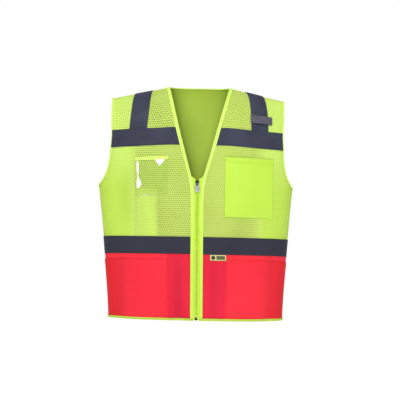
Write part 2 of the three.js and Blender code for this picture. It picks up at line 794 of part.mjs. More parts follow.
const tapeTop = layer.over[1];
const tabLoop = [tapeTop + clearance, tapeTop + clearance + tabPatch.thickness];
const tabUnderside = tabLoop[1] + clearance + tabPatch.thickness;

// A group on the cloth, with its x along the strap, its y up the strap's width and its z outwards
function tabFrame() {
  const height = neckPointHeight - tab.drop;
  const rise = riseAt(tab.fromCentre, height);
  const girth = girthAt(tab.fromCentre, height);
  const outwards = bodyNormal(girth, rise);
  const along = bodyPoint(girth + 1, rise).sub(bodyPoint(girth - 1, rise)).normalize();
  const across = outwards.clone().cross(along);
  const frame = new THREE.Group();
  frame.position.copy(bodyPoint(girth, rise));
  frame.setRotationFromMatrix(new THREE.Matrix4().makeBasis(along, across, outwards));
  const tapeEdge = shoulderTapeMiddle(rise, shoulderTape.left) + tapeWidth / 2;
  frame.userData = { along, seam: (tapeEdge + tab.beyondTape - tab.fromCentre) / along.x };
  return frame;
}

function addMicTab() {
  const frame = tabFrame();
  body.add(frame);
  const { along, seam } = frame.userData;
  const half = tab.width / 2;
  const strap = block([-tab.free, seam], [-half, half], [tabUnderside, tabUnderside + tab.thickness]);
  addPiece("mic_tab_strap", strap, looks.strap, frame);
  const patchStart = tabPatch.fromEnd - tab.free;
  const patch = [patchStart, patchStart + tabPatch.length];
  const patchHalf = half - tabPatch.inset;
  const hookTop = tabUnderside - clearance / 3;
  const hook = block(patch, [-patchHalf, patchHalf], [hookTop - tabPatch.thickness, hookTop]);
  addPiece("mic_tab_hook", hook, looks.strap, frame);

  const { x: centre, z: height } = frame.position;
  const rise = riseAt(centre, height);
  const band = { low: edgeAt(rise - half), high: edgeAt(rise + half) };
  const edgesBetween = (start, end) => ({
    left: edgeByX(edgeAt(centre + start * along.x)),
    right: edgeByX(edgeAt(centre + end * along.x)),
    ...band,
  });
  addPiece("mic_tab_loop", sheet(edgesBetween(...patch), tabLoop), looks.strap);
  const baseLayer = [clothThickness + clearance, tabUnderside + tab.thickness];
  const base = edgesBetween(seam + clearance, seam + tab.sewn);
  addPiece("mic_tab_base", sheet(base, baseLayer), looks.strap);
}

addBackPanels();
addFrontPanels();
addChestTapes();
addWaistTapes();
addShoulderTapes();
addChestPocket();
addIdPocket();
addLowerPockets();
addLabel();
addInsides();
addEdgings();
addBackNeckBinding();
addHemBindings();
addArmholeBindings();
addZipTapes();
addTeeth();
addStops();
addPinAndBox();
addSlider();
addPull();
addMicTab();

export default vest;
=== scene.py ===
import math

import bmesh
import bpy
import numpy as np
from mathutils import Matrix, Vector


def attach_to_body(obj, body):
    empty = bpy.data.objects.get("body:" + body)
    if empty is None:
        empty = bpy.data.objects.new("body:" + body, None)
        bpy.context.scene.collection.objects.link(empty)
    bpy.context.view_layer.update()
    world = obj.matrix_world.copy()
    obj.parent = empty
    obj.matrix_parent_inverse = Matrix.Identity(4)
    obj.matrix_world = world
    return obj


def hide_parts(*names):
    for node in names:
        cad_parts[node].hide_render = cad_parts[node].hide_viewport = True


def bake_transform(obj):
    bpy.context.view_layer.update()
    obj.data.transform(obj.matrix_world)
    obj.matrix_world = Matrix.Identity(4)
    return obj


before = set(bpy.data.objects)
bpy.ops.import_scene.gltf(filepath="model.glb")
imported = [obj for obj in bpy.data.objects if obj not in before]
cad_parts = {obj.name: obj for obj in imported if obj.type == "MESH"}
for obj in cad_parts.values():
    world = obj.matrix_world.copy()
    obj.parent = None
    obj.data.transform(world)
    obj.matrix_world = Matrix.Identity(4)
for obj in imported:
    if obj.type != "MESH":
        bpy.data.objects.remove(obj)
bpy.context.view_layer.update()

scene = bpy.context.scene
mm = 0.001  # everything below is worked out in millimetres above the hem, then scaled

# The body that the cloth lies on: girth is in degrees from the front middle towards the wearer's left,
# rise is a height up to the cap and then a length along the cloth, over the shoulder and down the back
form = {
    "zeroHeight": 669.5, "hemHalf": 257, "chestHalf": 288, "flare": 1.3, "front": 104, "back": 92,
    "neckPoint": 688, "neckHalf": 84.2, "neckRise": 15, "neckFoot": 416, "neckFootHalf": 12.4,
    "tipHalf": 254.6, "shoulderDrop": 37, "armpit": 391.5, "cap": 520, "shoulder": 720, "capArc": 200,
    "roundness": 2.4, "capRoundness": 1.7,
}


def signedPower(value, exponent):
    return np.sign(value) * np.abs(value) ** exponent


def halfWidth(height):
    share = np.clip(np.asarray(height, float) / form["armpit"], 0, 1)
    return form["hemHalf"] + (form["chestHalf"] - form["hemHalf"]) * share ** form["flare"]


def shoulderHeight(x):
    past = np.abs(x) - form["neckHalf"]
    slope = form["shoulderDrop"] / (form["tipHalf"] - form["neckHalf"])
    inside = form["neckPoint"] + form["neckRise"] * (1 - (x / form["neckHalf"]) ** 2)
    return np.where(past > 0, form["neckPoint"] - past * slope, inside)


def overShoulder(girth, rise):
    # a place past the shoulder line is one on the back, as far down as it is past
    past = rise > form["shoulder"]
    return np.where(past, 180 - girth, girth), np.where(past, 2 * form["shoulder"] - rise, rise)


def bodyPoint(girth, rise):
    girth, rise = np.broadcast_arrays(np.asarray(girth, float), np.asarray(rise, float))
    girth, rise = overShoulder(girth, rise)
    sine, cosine = np.sin(np.radians(girth)), np.cos(np.radians(girth))
    depth = np.where(cosine > 0, form["front"], form["back"])
    x = halfWidth(rise) * signedPower(sine, 2 / form["roundness"])
    y = -depth * signedPower(cosine, 2 / form["roundness"])
    turn = np.clip((rise - form["cap"]) / form["capArc"], 0, 1) * math.pi / 2
    lift = np.sin(turn) ** (2 / form["capRoundness"])
    reach = np.abs(np.cos(turn)) ** (2 / form["capRoundness"])
    z = np.where(rise <= form["cap"], rise, form["cap"] + (shoulderHeight(x) - form["cap"]) * lift)
    return np.stack([x, np.where(rise <= form["cap"], y, y * reach), z], -1)


def unit(vectors):
    return vectors / np.maximum(np.linalg.norm(vectors, axis=-1, keepdims=True), 1e-9)


def bodyNormal(girth, rise):
    aside, ahead = 0.4, 0.6  # small steps in degrees and millimetres
    across = bodyPoint(girth + aside, rise) - bodyPoint(girth - aside, rise)
    up = bodyPoint(girth, rise + ahead) - bodyPoint(girth, rise - ahead)
    return unit(np.cross(across, up))


def girthAt(x, height, back=False):
    share = np.clip(np.asarray(x, float) / halfWidth(height), -1, 1)
    angle = np.degrees(np.arcsin(signedPower(share, form["roundness"] / 2)))
    return 180 - angle if back else angle


def riseAt(x, height):
    share = np.clip((height - form["cap"]) / (shoulderHeight(x) - form["cap"]), 0, 1)
    turn = np.arcsin(share ** (form["capRoundness"] / 2)) / (math.pi / 2)
    return np.where(height <= form["cap"], height, form["cap"] + turn * form["capArc"])


# Length of cloth round the body, so that patterns and rows of cells keep an even size
tableGirth = np.arange(-120, 480, 0.05)
tablePoints = bodyPoint(tableGirth, 300.0)
tableLength = np.concatenate([[0], np.cumsum(np.linalg.norm(np.diff(tablePoints, axis=0), axis=1))])
tableLength -= np.interp(0, tableGirth, tableLength)


def lengthOf(girth):
    return np.interp(girth, tableGirth, tableLength)


def girthOf(length):
    return np.interp(length, tableLength, tableGirth)


sideLength = float(lengthOf(90))

# How the cloth hangs: long soft folds, calm beside the zip and at the side seams
hang = {
    "calmHalf": 16, "freeFrom": 60, "sideCalm": 0.35, "sideHalf": 9, "sideBlend": 1.5, "fullness": 1.6,
    "fade": 30, "fadeSoftness": 14, "ripple": 0.5, "shoulderCalm": 0.75, "calmFrom": 600, "calmOver": 100,
    "folds": [  # length round the body, half width, lean per unit of rise, lowest and highest rise, depth
        (-58, 15, 0.02, -60, 215, -3.2), (-86, 12, 0.0, -60, 225, 1.6), (-172, 34, -0.05, -60, 240, 2.4),
        (-245, 20, 0.06, -80, 210, -2.6), (52, 13, -0.02, -60, 190, -2.6), (150, 38, 0.07, -60, 230, 2.2),
        (236, 22, 0.0, -80, 230, -2.6), (112, 22, 0.12, 40, 330, -1.4), (-118, 20, -0.2, 230, 420, -1.8),
        (-66, 16, -0.28, 236, 400, 1.8), (70, 18, 0.2, 240, 400, 1.6), (-205, 26, 0.1, 260, 470, -2.0),
        (-120, 30, -0.1, 480, 640, -1.6), (-196, 20, 0.16, 500, 700, 1.3), (105, 26, -0.12, 470, 660, 1.5),
        (176, 24, 0.16, 480, 690, -1.5), (226, 22, 0.05, 380, 560, 1.6), (-150, 16, 0.05, 490, 600, 1.2)],
    "backFolds": [
        (-150, 40, 0.08, -60, 560, 4.5), (-60, 34, -0.05, -60, 640, -4.0), (20, 42, 0.04, -60, 600, 3.5),
        (96, 30, -0.08, -60, 560, -4.0), (180, 40, 0.05, -60, 480, 3.5), (-30, 26, 0.1, 420, 700, 2.5),
        (60, 24, -0.12, 430, 700, -2.4)],
    # how far the sides and the middle are carried over at each height
    "edgeBow": [(0, -4.0), (250, -3.8), (391, -4.5), (520, -1.6), (651, 0.4), (700, 2.5)],
    "middleBow": [(0, 0.0), (300, 0.0), (416, 0.4), (470, 1.4), (560, 2.3), (646, 4.8), (690, 6.2), (720, 6.3)],
    "sag": 0.0131,
}


def soften(share):
    share = np.clip(share, 0, 1)
    return share * share * (3 - 2 * share)


def foldDepth(length, rise, folds):
    total = np.zeros(np.broadcast(length, rise).shape)
    for centre, half, lean, low, high, depth in folds:
        across = (length - centre - lean * (rise - (low + high) / 2)) / half
        upper = 1 / (1 + np.exp((rise - high + hang["fade"]) / hang["fadeSoftness"]))
        lower = 1 / (1 + np.exp((low + hang["fade"] - rise) / hang["fadeSoftness"]))
        total += depth * np.exp(-across ** 2) * upper * lower
    return total


def drape(girth, rise):
    girth, rise = overShoulder(girth, rise)
    girth = np.where(girth > 270, girth - 360, girth)
    length = lengthOf(girth)
    frontShare = 1 / (1 + np.exp((np.abs(girth) - 90) / hang["sideBlend"]))
    calm = soften((np.abs(length) - hang["calmHalf"]) / (hang["freeFrom"] - hang["calmHalf"]))
    front = foldDepth(length, rise, hang["folds"]) * calm * hang["fullness"]
    behind = lengthOf(np.where(girth < 0, girth + 360, girth)) - lengthOf(180)
    back = foldDepth(behind, rise, hang["backFolds"])
    side = 1 - (1 - hang["sideCalm"]) * np.exp(-((np.abs(girth) - 90) / hang["sideHalf"]) ** 2)
    ripple = hang["ripple"] * np.sin(length / 23 + rise / 90) * np.sin(rise / 61 + length / 140 + 1) * calm
    steady = 1 - hang["shoulderCalm"] * np.clip((rise - hang["calmFrom"]) / hang["calmOver"], 0, 1)
    return (front * frontShare + back * (1 - frontShare) + ripple) * side * steady


def bow(points):
    weight = np.clip((points[..., 0] / form["chestHalf"]) ** 2, 0, 1)
    edge = np.interp(points[..., 2], *zip(*hang["edgeBow"]))
    middle = np.interp(points[..., 2], *zip(*hang["middleBow"]))
    return weight * edge + (1 - weight) * middle


def clothPoint(girth, rise, offset):
    girth, rise = np.broadcast_arrays(np.asarray(girth, float), np.asarray(rise, float))
    points = bodyPoint(girth, rise) + bodyNormal(girth, rise) * (offset + drape(girth, rise))[..., None]
    points[..., 0] += bow(points)
    points[..., 2] -= hang["sag"] * points[..., 0]  # the wearer's left hangs a little lower
    return points


# Edges of pieces: each one is a girth for a rise, or a rise for a girth
levels = {"chestTape": 565, "chestFall": 11, "waistTape": 246, "waistFall": 6.6, "seam": 222, "tape": 50.8,
          "hemEdge": 3}
edging = {"start": 2.8, "end": 12, "foot": 6, "zipGap": 0.8, "clothGap": 0.2, "widen": 2.4, "widenFrom": 430,
          "widenOver": 90}
armhole = {"inset": 33.4, "front": (2, 6.5), "back": (0, 5), "lean": 0.8, "tuck": 2, "tuckDrop": 22,
           "tuckHalf": 26}
neckSlope = (form["neckHalf"] - form["neckFootHalf"]) / (form["neckPoint"] - form["neckFoot"])


def constant(value):
    return lambda other: np.full(np.shape(other), float(value))


def below(line, drop):
    return lambda place: line(place) - drop


def byX(edge, back=False):
    def girth(rise):
        found = np.full(np.shape(rise), 180.0 if back else 0.0)
        for _ in range(9):
            height = bodyPoint(found, rise)[..., 2]
            found = girthAt(edge(height), height, back)
        return found
    return girth


def atX(value):
    return byX(constant(value))


def byHeight(edge):
    def rise(girth):
        found = np.full(np.shape(girth), float(form["cap"]))
        for _ in range(5):
            x = bodyPoint(girth, found)[..., 0]
            found = riseAt(x, edge(x))
        return found
    return rise


def edgingInner(height):
    past = form["neckFootHalf"] + (height - form["neckFoot"]) * neckSlope - edging["foot"]
    return edging["foot"] + (past + np.hypot(past, edging["foot"])) / 2


def besideZip(height):
    return edgingInner(height) + edging["start"] + edging["zipGap"]


def widened(height):
    # the edging moves outwards a little as it goes up the neck
    return edging["widen"] * np.clip((height - edging["widenFrom"]) / edging["widenOver"], 0, 1)


def besideEdging(height):
    return edgingInner(height) + edging["end"] + edging["clothGap"] + widened(height)


def armholeX(height, part="front"):
    hollow, sharpness = armhole[part]
    tip = form["neckPoint"] - form["shoulderDrop"]
    share = np.clip((height - form["armpit"]) / (tip - form["armpit"]), 0, 1)
    fromTuck = (height - levels["chestTape"] + armhole["tuckDrop"]) / armhole["tuckHalf"]
    edge = form["tipHalf"] + armhole["inset"] * (1 - share) ** sharpness
    return edge - hollow * np.sin(math.pi * share ** armhole["lean"]) - armhole["tuck"] * np.exp(-fromTuck ** 2)


def sideX(height, part="front"):
    return np.where(height < form["armpit"], halfWidth(height), armholeX(height, part))


def frontRight(rise):
    return np.minimum(byX(sideX)(rise), 90)


def backLeft(rise):
    return np.maximum(byX(lambda height: sideX(height, "back"), True)(rise), 90)


def chestTapeTop(x):
    share = np.clip((np.abs(x) - form["neckHalf"]) / (form["tipHalf"] - form["neckHalf"]), 0, 1)
    return levels["chestTape"] - levels["chestFall"] * share


def waistTapeTop(girth):
    fromFront = np.minimum(np.minimum(np.abs(girth), np.abs(girth - 360)), 90)
    return levels["waistTape"] - levels["waistFall"] * (fromFront / 90) ** 2


def backNeckRise(girth):
    x = bodyPoint(girth, float(form["cap"]))[..., 0]
    level = np.minimum(form["neckPoint"] - 1, shoulderHeight(x))
    return np.where(np.abs(x) < form["neckHalf"], riseAt(x, level), form["shoulder"])


hemEdge, shoulderEdge = constant(levels["hemEdge"]), constant(form["shoulder"])
seam, atSide, atFarSide = constant(levels["seam"]), constant(90), constant(270)

# Making meshes, each with its look
looks, sheetSizes = {}, {}
clothSides = ((1, "left", "root"), (-1, "right", "bend"))
hardSides = ((1, "left", "root"), (-1, "right", "right_front"))


def makePiece(name, vertices, faces, look, uvs, smooth=35):
    mesh = bpy.data.meshes.new(name)
    mesh.from_pydata([tuple(v) for v in vertices], [], faces)
    layer = mesh.uv_layers.new(name="clothMap")
    corners = np.empty(len(mesh.loops), int)
    mesh.loops.foreach_get("vertex_index", corners)
    layer.data.foreach_set("uv", np.asarray(uvs)[corners].astype(np.float32).ravel())
    mesh.validate()
    piece = bpy.data.objects.new(name, mesh)
    scene.collection.objects.link(piece)
    mesh.materials.append(looks[look])
    mesh.shade_smooth()
    if smooth:
        mesh.set_sharp_from_angle(angle=math.radians(smooth))
    return piece


def inFrame(points):
    shifted = np.array(points, float).reshape(-1, 3)
    shifted[:, 2] -= form["zeroHeight"]
    return shifted * mm


def bendAtFold(piece):
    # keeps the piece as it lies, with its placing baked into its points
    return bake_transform(piece)


def attach(piece, body, nodes):
    if body == "bend":
        bendAtFold(piece)
    else:
        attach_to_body(piece, body)
    if nodes:
        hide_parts(*nodes)


def solveGrid(edges, u, v):
    left, right, low, high = edges
    rise = np.full(u.shape, 300.0)
    for _ in range(16):
        start, end = lengthOf(left(rise)), lengthOf(right(rise))
        girth = girthOf(start + (end - start) * u)
        rise = low(girth) * (1 - v) + high(girth) * v
    return girth, rise


def layOut(edges, cell):
    girth, rise = solveGrid(edges, *np.meshgrid(np.linspace(0, 1, 9), np.linspace(0, 1, 9)))
    width = (lengthOf(girth[:, -1]) - lengthOf(girth[:, 0])).max()
    tall = (rise[-1] - rise[0]).max()
    across, up = max(2, math.ceil(width / cell)), max(2, math.ceil(tall / cell))
    u, v = np.meshgrid(np.linspace(0, 1, across + 1), np.linspace(0, 1, up + 1))
    return (u, v, *solveGrid(edges, u, v))


def skinFaces(rows, columns):
    # two skins of the same grid, the outer one first, closed round their rim
    row, column = np.meshgrid(np.arange(rows - 1), np.arange(columns - 1), indexing="ij")
    a = (row * columns + column).ravel()
    outer = np.stack([a, a + 1, a + columns + 1, a + columns], -1)
    right = [r * columns + columns - 1 for r in range(1, rows)]
    top = [(rows - 1) * columns + c for c in range(columns - 2, -1, -1)]
    rim = list(range(columns)) + right + top + [r * columns for r in range(rows - 2, 0, -1)]
    count = rows * columns
    walls = [(b, a, a + count, b + count) for a, b in zip(rim, rim[1:] + rim[:1])]
    return [tuple(f) for f in outer] + [tuple(f[::-1] + count) for f in outer] + walls


def paint(piece, name, outer, inner):
    # a value at each point of a sheet's two skins, for its material
    layer = piece.data.attributes.new(name, "FLOAT", "POINT")
    layer.data.foreach_set("value", np.concatenate([outer.ravel(), inner.ravel()]).astype(np.float32))


def declareSheet(piece, girth, rise):
    flat = bodyPoint(girth, rise)
    wide = np.linalg.norm(np.diff(flat, axis=1), axis=-1).sum(1).max() * mm
    tall = np.linalg.norm(np.diff(flat, axis=0), axis=-1).sum(0).max() * mm
    first = np.cross(flat[:-1, 1:] - flat[:-1, :-1], flat[1:, 1:] - flat[:-1, 1:])
    second = np.cross(flat[1:, 1:] - flat[1:, :-1], flat[1:, :-1] - flat[:-1, :-1])
    area = (np.linalg.norm(first, axis=-1).sum() + np.linalg.norm(second, axis=-1).sum()) / 2 * mm * mm
    area = min(area, wide * tall)
    sheetSizes[piece.name] = (round(wide * 1000), round(tall * 1000), round(area, 4))


def clothSheet(name, edges, layer, look, body="root", nodes=(), side=1, cell=6.0, puff=None,
               declare=True):
    # a piece of cloth of even thickness between four edges, hung on the body; side -1 mirrors it
    u, v, girth, rise = layOut(edges, cell)
    girth = girth * side
    extra = 0 if puff is None else puff(u, v, girth, rise)
    skins = [clothPoint(girth, rise, np.full(u.shape, float(offset)) + extra) for offset in layer[::-1]]
    faces = skinFaces(*u.shape)
    if side < 0:
        faces = [f[::-1] for f in faces]
    uv = np.stack([lengthOf(girth), rise], -1).reshape(-1, 2) * mm
    vertices = inFrame(np.concatenate([skin.reshape(-1, 3) for skin in skins]))
    piece = makePiece(name, vertices, faces, look, np.concatenate([uv, uv]))
    # painted shade: how deep each place lies in the hollow of a fold, for darkening the cloth looks there
    foldShade = np.clip(-drape(girth, rise) / 6, 0, 1)
    paint(piece, "foldShade", foldShade, foldShade * 0)
    attach(piece, body, nodes)
    if declare:
        declareSheet(piece, girth, rise)
    return piece


def sweep(name, points, outs, normals, profile, closed, look, body="root", nodes=()):
    # carries a closed outline along a line on the cloth: (past the edge, off the cloth)
    outline = np.array(profile, float)
    sections = points[:, None] + outs[:, None] * outline[None, :, :1] + normals[:, None] * outline[None, :, 1:]
    count, size = len(points), len(outline)
    steps = count if closed else count - 1
    faces = []
    for step in range(steps):
        here, ahead = step * size, (step + 1) % count * size
        faces += [(here + k, ahead + k, ahead + (k + 1) % size, here + (k + 1) % size) for k in range(size)]
    if not closed:
        faces += [tuple(range(size)), tuple(range((count - 1) * size, count * size))[::-1]]
    flat = sections.reshape(-1, 3)
    first = [flat[list(f[:3])] for f in faces[:steps * size]]
    volume = sum(float(np.dot(t[0] - flat[0], np.cross(t[1] - flat[0], t[2] - flat[0]))) for t in first)
    if volume < 0:
        faces = [f[::-1] for f in faces]
    along = np.concatenate([[0], np.cumsum(np.linalg.norm(np.diff(points, axis=0), axis=1))])
    around = np.concatenate([[0], np.cumsum(np.linalg.norm(np.diff(outline, axis=0), axis=1))])
    uv = np.stack(np.meshgrid(along, around, indexing="ij"), -1).reshape(-1, 2) * mm
    attach(makePiece(name, inFrame(flat), faces, look, uv), body, nodes)


def edgeLine(girth, rise, closed, towards):
    # a line on the cloth, with the direction out past the edge that a small step in girth and rise points to
    points = clothPoint(girth, rise, 0.0)
    if closed:
        along = unit(np.roll(points, -1, 0) - np.roll(points, 1, 0))
    else:
        along = unit(np.gradient(points, axis=0))
    normals = unit(bodyNormal(girth, rise))
    outs = unit(np.cross(along, normals))
    step = towards(points) if closed else clothPoint(girth, rise + towards, 0.0) - points
    return points, outs * np.median(np.sign((step * outs).sum(-1))), normals


# Materials
def addNode(tree, kind, inputs=None, **settings):
    node = tree.nodes.new(kind)
    for key, value in settings.items():
        setattr(node, key, value)
    for key, value in (inputs or {}).items():
        if isinstance(value, bpy.types.NodeSocket):
            tree.links.new(value, node.inputs[key])
        else:
            node.inputs[key].default_value = value
    return node


def addGroup(tree, group, **inputs):
    return addNode(tree, "ShaderNodeGroup", inputs, node_tree=group)


def calc(tree, operation, *values, clamp=False):
    node = addNode(tree, "ShaderNodeMath", dict(enumerate(values)), operation=operation)
    node.use_clamp = clamp
    return node.outputs[0]


def remap(tree, value, low, high, least=0.0, most=1.0, kind="LINEAR"):
    ends = {0: value, 1: low, 2: high, 3: least, 4: most}
    return addNode(tree, "ShaderNodeMapRange", ends, interpolation_type=kind).outputs[0]


def splitUp(tree, place):
    return addNode(tree, "ShaderNodeSeparateXYZ", {0: place}).outputs


def painted(tree, name):
    return addNode(tree, "ShaderNodeAttribute", attribute_name=name).outputs["Fac"]


def blendColours(tree, share, first, second, kind="MIX"):
    ends = {0: share, 6: first, 7: second}
    return addNode(tree, "ShaderNodeMix", ends, data_type="RGBA", blend_type=kind).outputs[2]


def newGroup(name, inputs, outputs):
    group = bpy.data.node_groups.new(name, "ShaderNodeTree")
    for socket, kind, value in inputs:
        made = group.interface.new_socket(name=socket, in_out="INPUT", socket_type=kind)
        if value is not None:
            made.default_value = value
    for socket, kind in outputs:
        group.interface.new_socket(name=socket, in_out="OUTPUT", socket_type=kind)
    return group, group.nodes.new("NodeGroupInput").outputs, group.nodes.new("NodeGroupOutput").inputs


vector, colour, number, white = "NodeSocketVector", "NodeSocketColor", "NodeSocketFloat", (1, 1, 1, 1)


def makeWeave():
    # over-and-under threads: Height for a bump and Gap where the threads part
    group, given, result = newGroup(
        "threadWeave", [("Place", vector, None), ("Across", number, 1500.0), ("Along", number, 1500.0)],
        [("Height", number), ("Gap", number)])
    parts = splitUp(group, given["Place"])
    waves = [calc(group, "SINE", calc(group, "MULTIPLY", calc(group, "MULTIPLY", part, given[count]), math.pi))
             for part, count in ((parts[0], "Across"), (parts[1], "Along"))]
    over = calc(group, "MULTIPLY", *waves)
    thread = calc(group, "MAXIMUM", *(calc(group, "ABSOLUTE", wave) for wave in waves))
    height = calc(group, "ADD", calc(group, "MULTIPLY", over, 0.5), calc(group, "MULTIPLY", thread, 0.5))
    group.links.new(height, result["Height"])
    gap = calc(group, "SUBTRACT", 1.0, calc(group, "MULTIPLY", thread, 1.25, clamp=True), clamp=True)
    group.links.new(gap, result["Gap"])
    return group


def makeDye():
    # uneven dye and soft wear: one colour drifts towards a second, with a fine grain on top
    group, given, result = newGroup(
        "unevenDye", [("Place", vector, None), ("Colour", colour, white), ("Second", colour, white),
                      ("Patch", number, 9.0), ("Grain", number, 0.08)], [("Colour", colour), ("Mask", number)])
    broad = addNode(group, "ShaderNodeTexNoise", {"Vector": given["Place"], "Scale": given["Patch"],
                                                  "Detail": 2.0, "Roughness": 0.5})
    fine = addNode(group, "ShaderNodeTexNoise", {"Vector": given["Place"], "Scale": 900.0, "Detail": 2.0})
    share = remap(group, broad.outputs[0], 0.36, 0.64)
    mixed = blendColours(group, share, given["Colour"], given["Second"])
    grain = calc(group, "MULTIPLY", calc(group, "SUBTRACT", fine.outputs[0], 0.5), given["Grain"])
    shade = calc(group, "ADD", 1.0, calc(group, "MULTIPLY", grain, 2.0))
    lit = addNode(group, "ShaderNodeVectorMath", {0: mixed, "Scale": shade}, operation="SCALE")
    group.links.new(lit.outputs[0], result["Colour"])
    group.links.new(share, result["Mask"])
    return group


def makeHollow():
    # painted shade: the hollows of the folds are a little darker
    group, given, result = newGroup("foldHollow", [("Colour", colour, white), ("Hollow", number, 0.0)],
                                    [("Colour", colour)])
    share = calc(group, "MULTIPLY", given["Hollow"], 0.85)
    darker = blendColours(group, share, given["Colour"], (0.80, 0.80, 0.80, 1), "MULTIPLY")
    group.links.new(darker, result["Colour"])
    return group


def makeReach():
    # how far a place has come along a range, times a share
    group, given, result = newGroup(
        "rangeShare", [("Place", number, 0.0), ("From", number, 0.0), ("To", number, 1.0),
                       ("Share", number, 1.0)], [("Share", number)])
    reached = remap(group, given["Place"], given["From"], given["To"])
    group.links.new(calc(group, "MULTIPLY", reached, given["Share"]), result["Share"])
    return group


weaveGroup, dyeGroup, foldShadeGroup, reachGroup = makeWeave(), makeDye(), makeHollow(), makeReach()


def linear(red, green, blue):
    shares = (part / 255 for part in (red, green, blue))
    return tuple(((c + 0.055) / 1.055) ** 2.4 if c > 0.04 else c / 12.92 for c in shares) + (1.0,)


def darkened(shade, share):
    return tuple(c * share for c in shade[:3]) + (1.0,)


def startMaterial(name, roughness, kind="UV", **values):
    material = bpy.data.materials.new(name)
    material.use_nodes = True
    tree = material.node_tree
    shader = tree.nodes["Principled BSDF"]
    shader.inputs["Roughness"].default_value = roughness
    for key, value in values.items():
        shader.inputs[key].default_value = value
    looks[name] = material
    return tree, shader, addNode(tree, "ShaderNodeTexCoord").outputs[kind]


def setBump(tree, height, strength, depth):
    bump = addNode(tree, "ShaderNodeBump", {"Strength": strength, "Distance": depth * mm, "Height": height})
    tree.links.new(bump.outputs[0], tree.nodes["Principled BSDF"].inputs["Normal"])


def addDye(tree, place, first, second, **values):
    dye = addGroup(tree, dyeGroup, Place=place, Colour=first, Second=second, **values)
    tree.links.new(dye.outputs["Colour"], tree.nodes["Principled BSDF"].inputs["Base Color"])
    return dye


def tint(tree, share, other):
    # mixes another colour into the one that the shader has so far
    socket = tree.nodes["Principled BSDF"].inputs["Base Color"]
    tree.links.new(blendColours(tree, share, socket.links[0].from_socket, other), socket)


def drift(name, share, other, *ranges):
    # the colour moves towards another one over ranges of the cloth's own place, each (0 round or 1 up,
    # from, to); a range that ends below nought is on the wearer's right only
    tree = looks[name].node_tree
    parts = splitUp(tree, addNode(tree, "ShaderNodeTexCoord").outputs["UV"])
    for direction, start, end in ranges:
        along = parts[direction] if end < 0 else calc(tree, "ABSOLUTE", parts[direction])
        share = addGroup(tree, reachGroup, Place=along, From=start, To=end, Share=share).outputs[0]
    tint(tree, share, other)


clothLooks = {
    # colour, second colour, threads per metre across and along, bump in millimetres, roughness, sheen,
    # dye patch scale
    "limeKnit": ((182, 219, 77), (176, 214, 70), (1250, 1250), 0.10, 0.85, 0.04, 7.0),
    "insideKnit": ((178, 211, 76), (172, 206, 70), (1250, 1250), 0.10, 0.9, 0.04, 6.0),
    "redCloth": ((215, 36, 60), (205, 31, 55), (1700, 1700), 0.09, 0.85, 0.03, 5.0),
    "redPocket": ((232, 46, 59), (224, 40, 55), (1700, 1700), 0.09, 0.85, 0.03, 5.0),
    "limeBinding": ((205, 243, 112), (200, 239, 104), (900, 2200), 0.14, 0.8, 0.04, 30.0),
    "hemCloth": ((178, 198, 74), (170, 190, 69), (900, 2200), 0.14, 0.8, 0.04, 30.0),
    "armBinding": ((206, 238, 108), (200, 232, 100), (900, 2200), 0.14, 0.8, 0.04, 30.0),
    "tapeThread": ((58, 60, 74), (48, 50, 64), (2500, 2500), 0.05, 0.6, 0.05, 40.0),
    "zipCloth": ((190, 226, 72), (184, 220, 66), (700, 2600), 0.12, 0.7, 0.12, 40.0),
    "webbing": ((84, 82, 95), (76, 74, 87), (420, 620), 0.30, 0.75, 0.2, 60.0),
    "limeThread": ((216, 252, 104), (200, 238, 86), (2500, 2500), 0.05, 0.6, 0.1, 40.0),
    "redThread": ((214, 34, 56), (228, 44, 62), (2500, 2500), 0.05, 0.6, 0.1, 40.0),
    "darkThread": ((60, 58, 66), (74, 70, 80), (2500, 2500), 0.05, 0.6, 0.1, 40.0),
}


def clothMaterial(name, like=None):
    first, second, (across, along), depth, roughness, sheen, patch = clothLooks[like or name]
    tree, shader, place = startMaterial(name, roughness, **{"Sheen Weight": sheen, "Sheen Roughness": 0.5,
                                                            "Specular IOR Level": 0.15})
    weave = addGroup(tree, weaveGroup, Place=place, Across=across, Along=along)
    addDye(tree, place, linear(*first), linear(*second), Patch=patch)
    tint(tree, calc(tree, "MULTIPLY", weave.outputs["Gap"], 0.5), darkened(linear(*first), 0.55))
    setBump(tree, weave.outputs["Height"], 0.6, depth)
    return tree, place


def makeBackKnit():
    # the knit of the inside, with painted light that makes it paler low down, and its painted shade
    tree, place = clothMaterial("backKnit", "insideKnit")
    # painted light: the inside is paler towards the bottom
    low = remap(tree, splitUp(tree, place)[1], 0.70, 0.50)
    tint(tree, calc(tree, "MULTIPLY", low, 0.9), linear(212, 240, 104))
    tint(tree, painted(tree, "shade"), linear(60, 84, 6))


meshCloth = {"pitch": (6.6, 6.0), "hole": (1.55, 1.2), "soft": 0.32, "cover": 0.7}


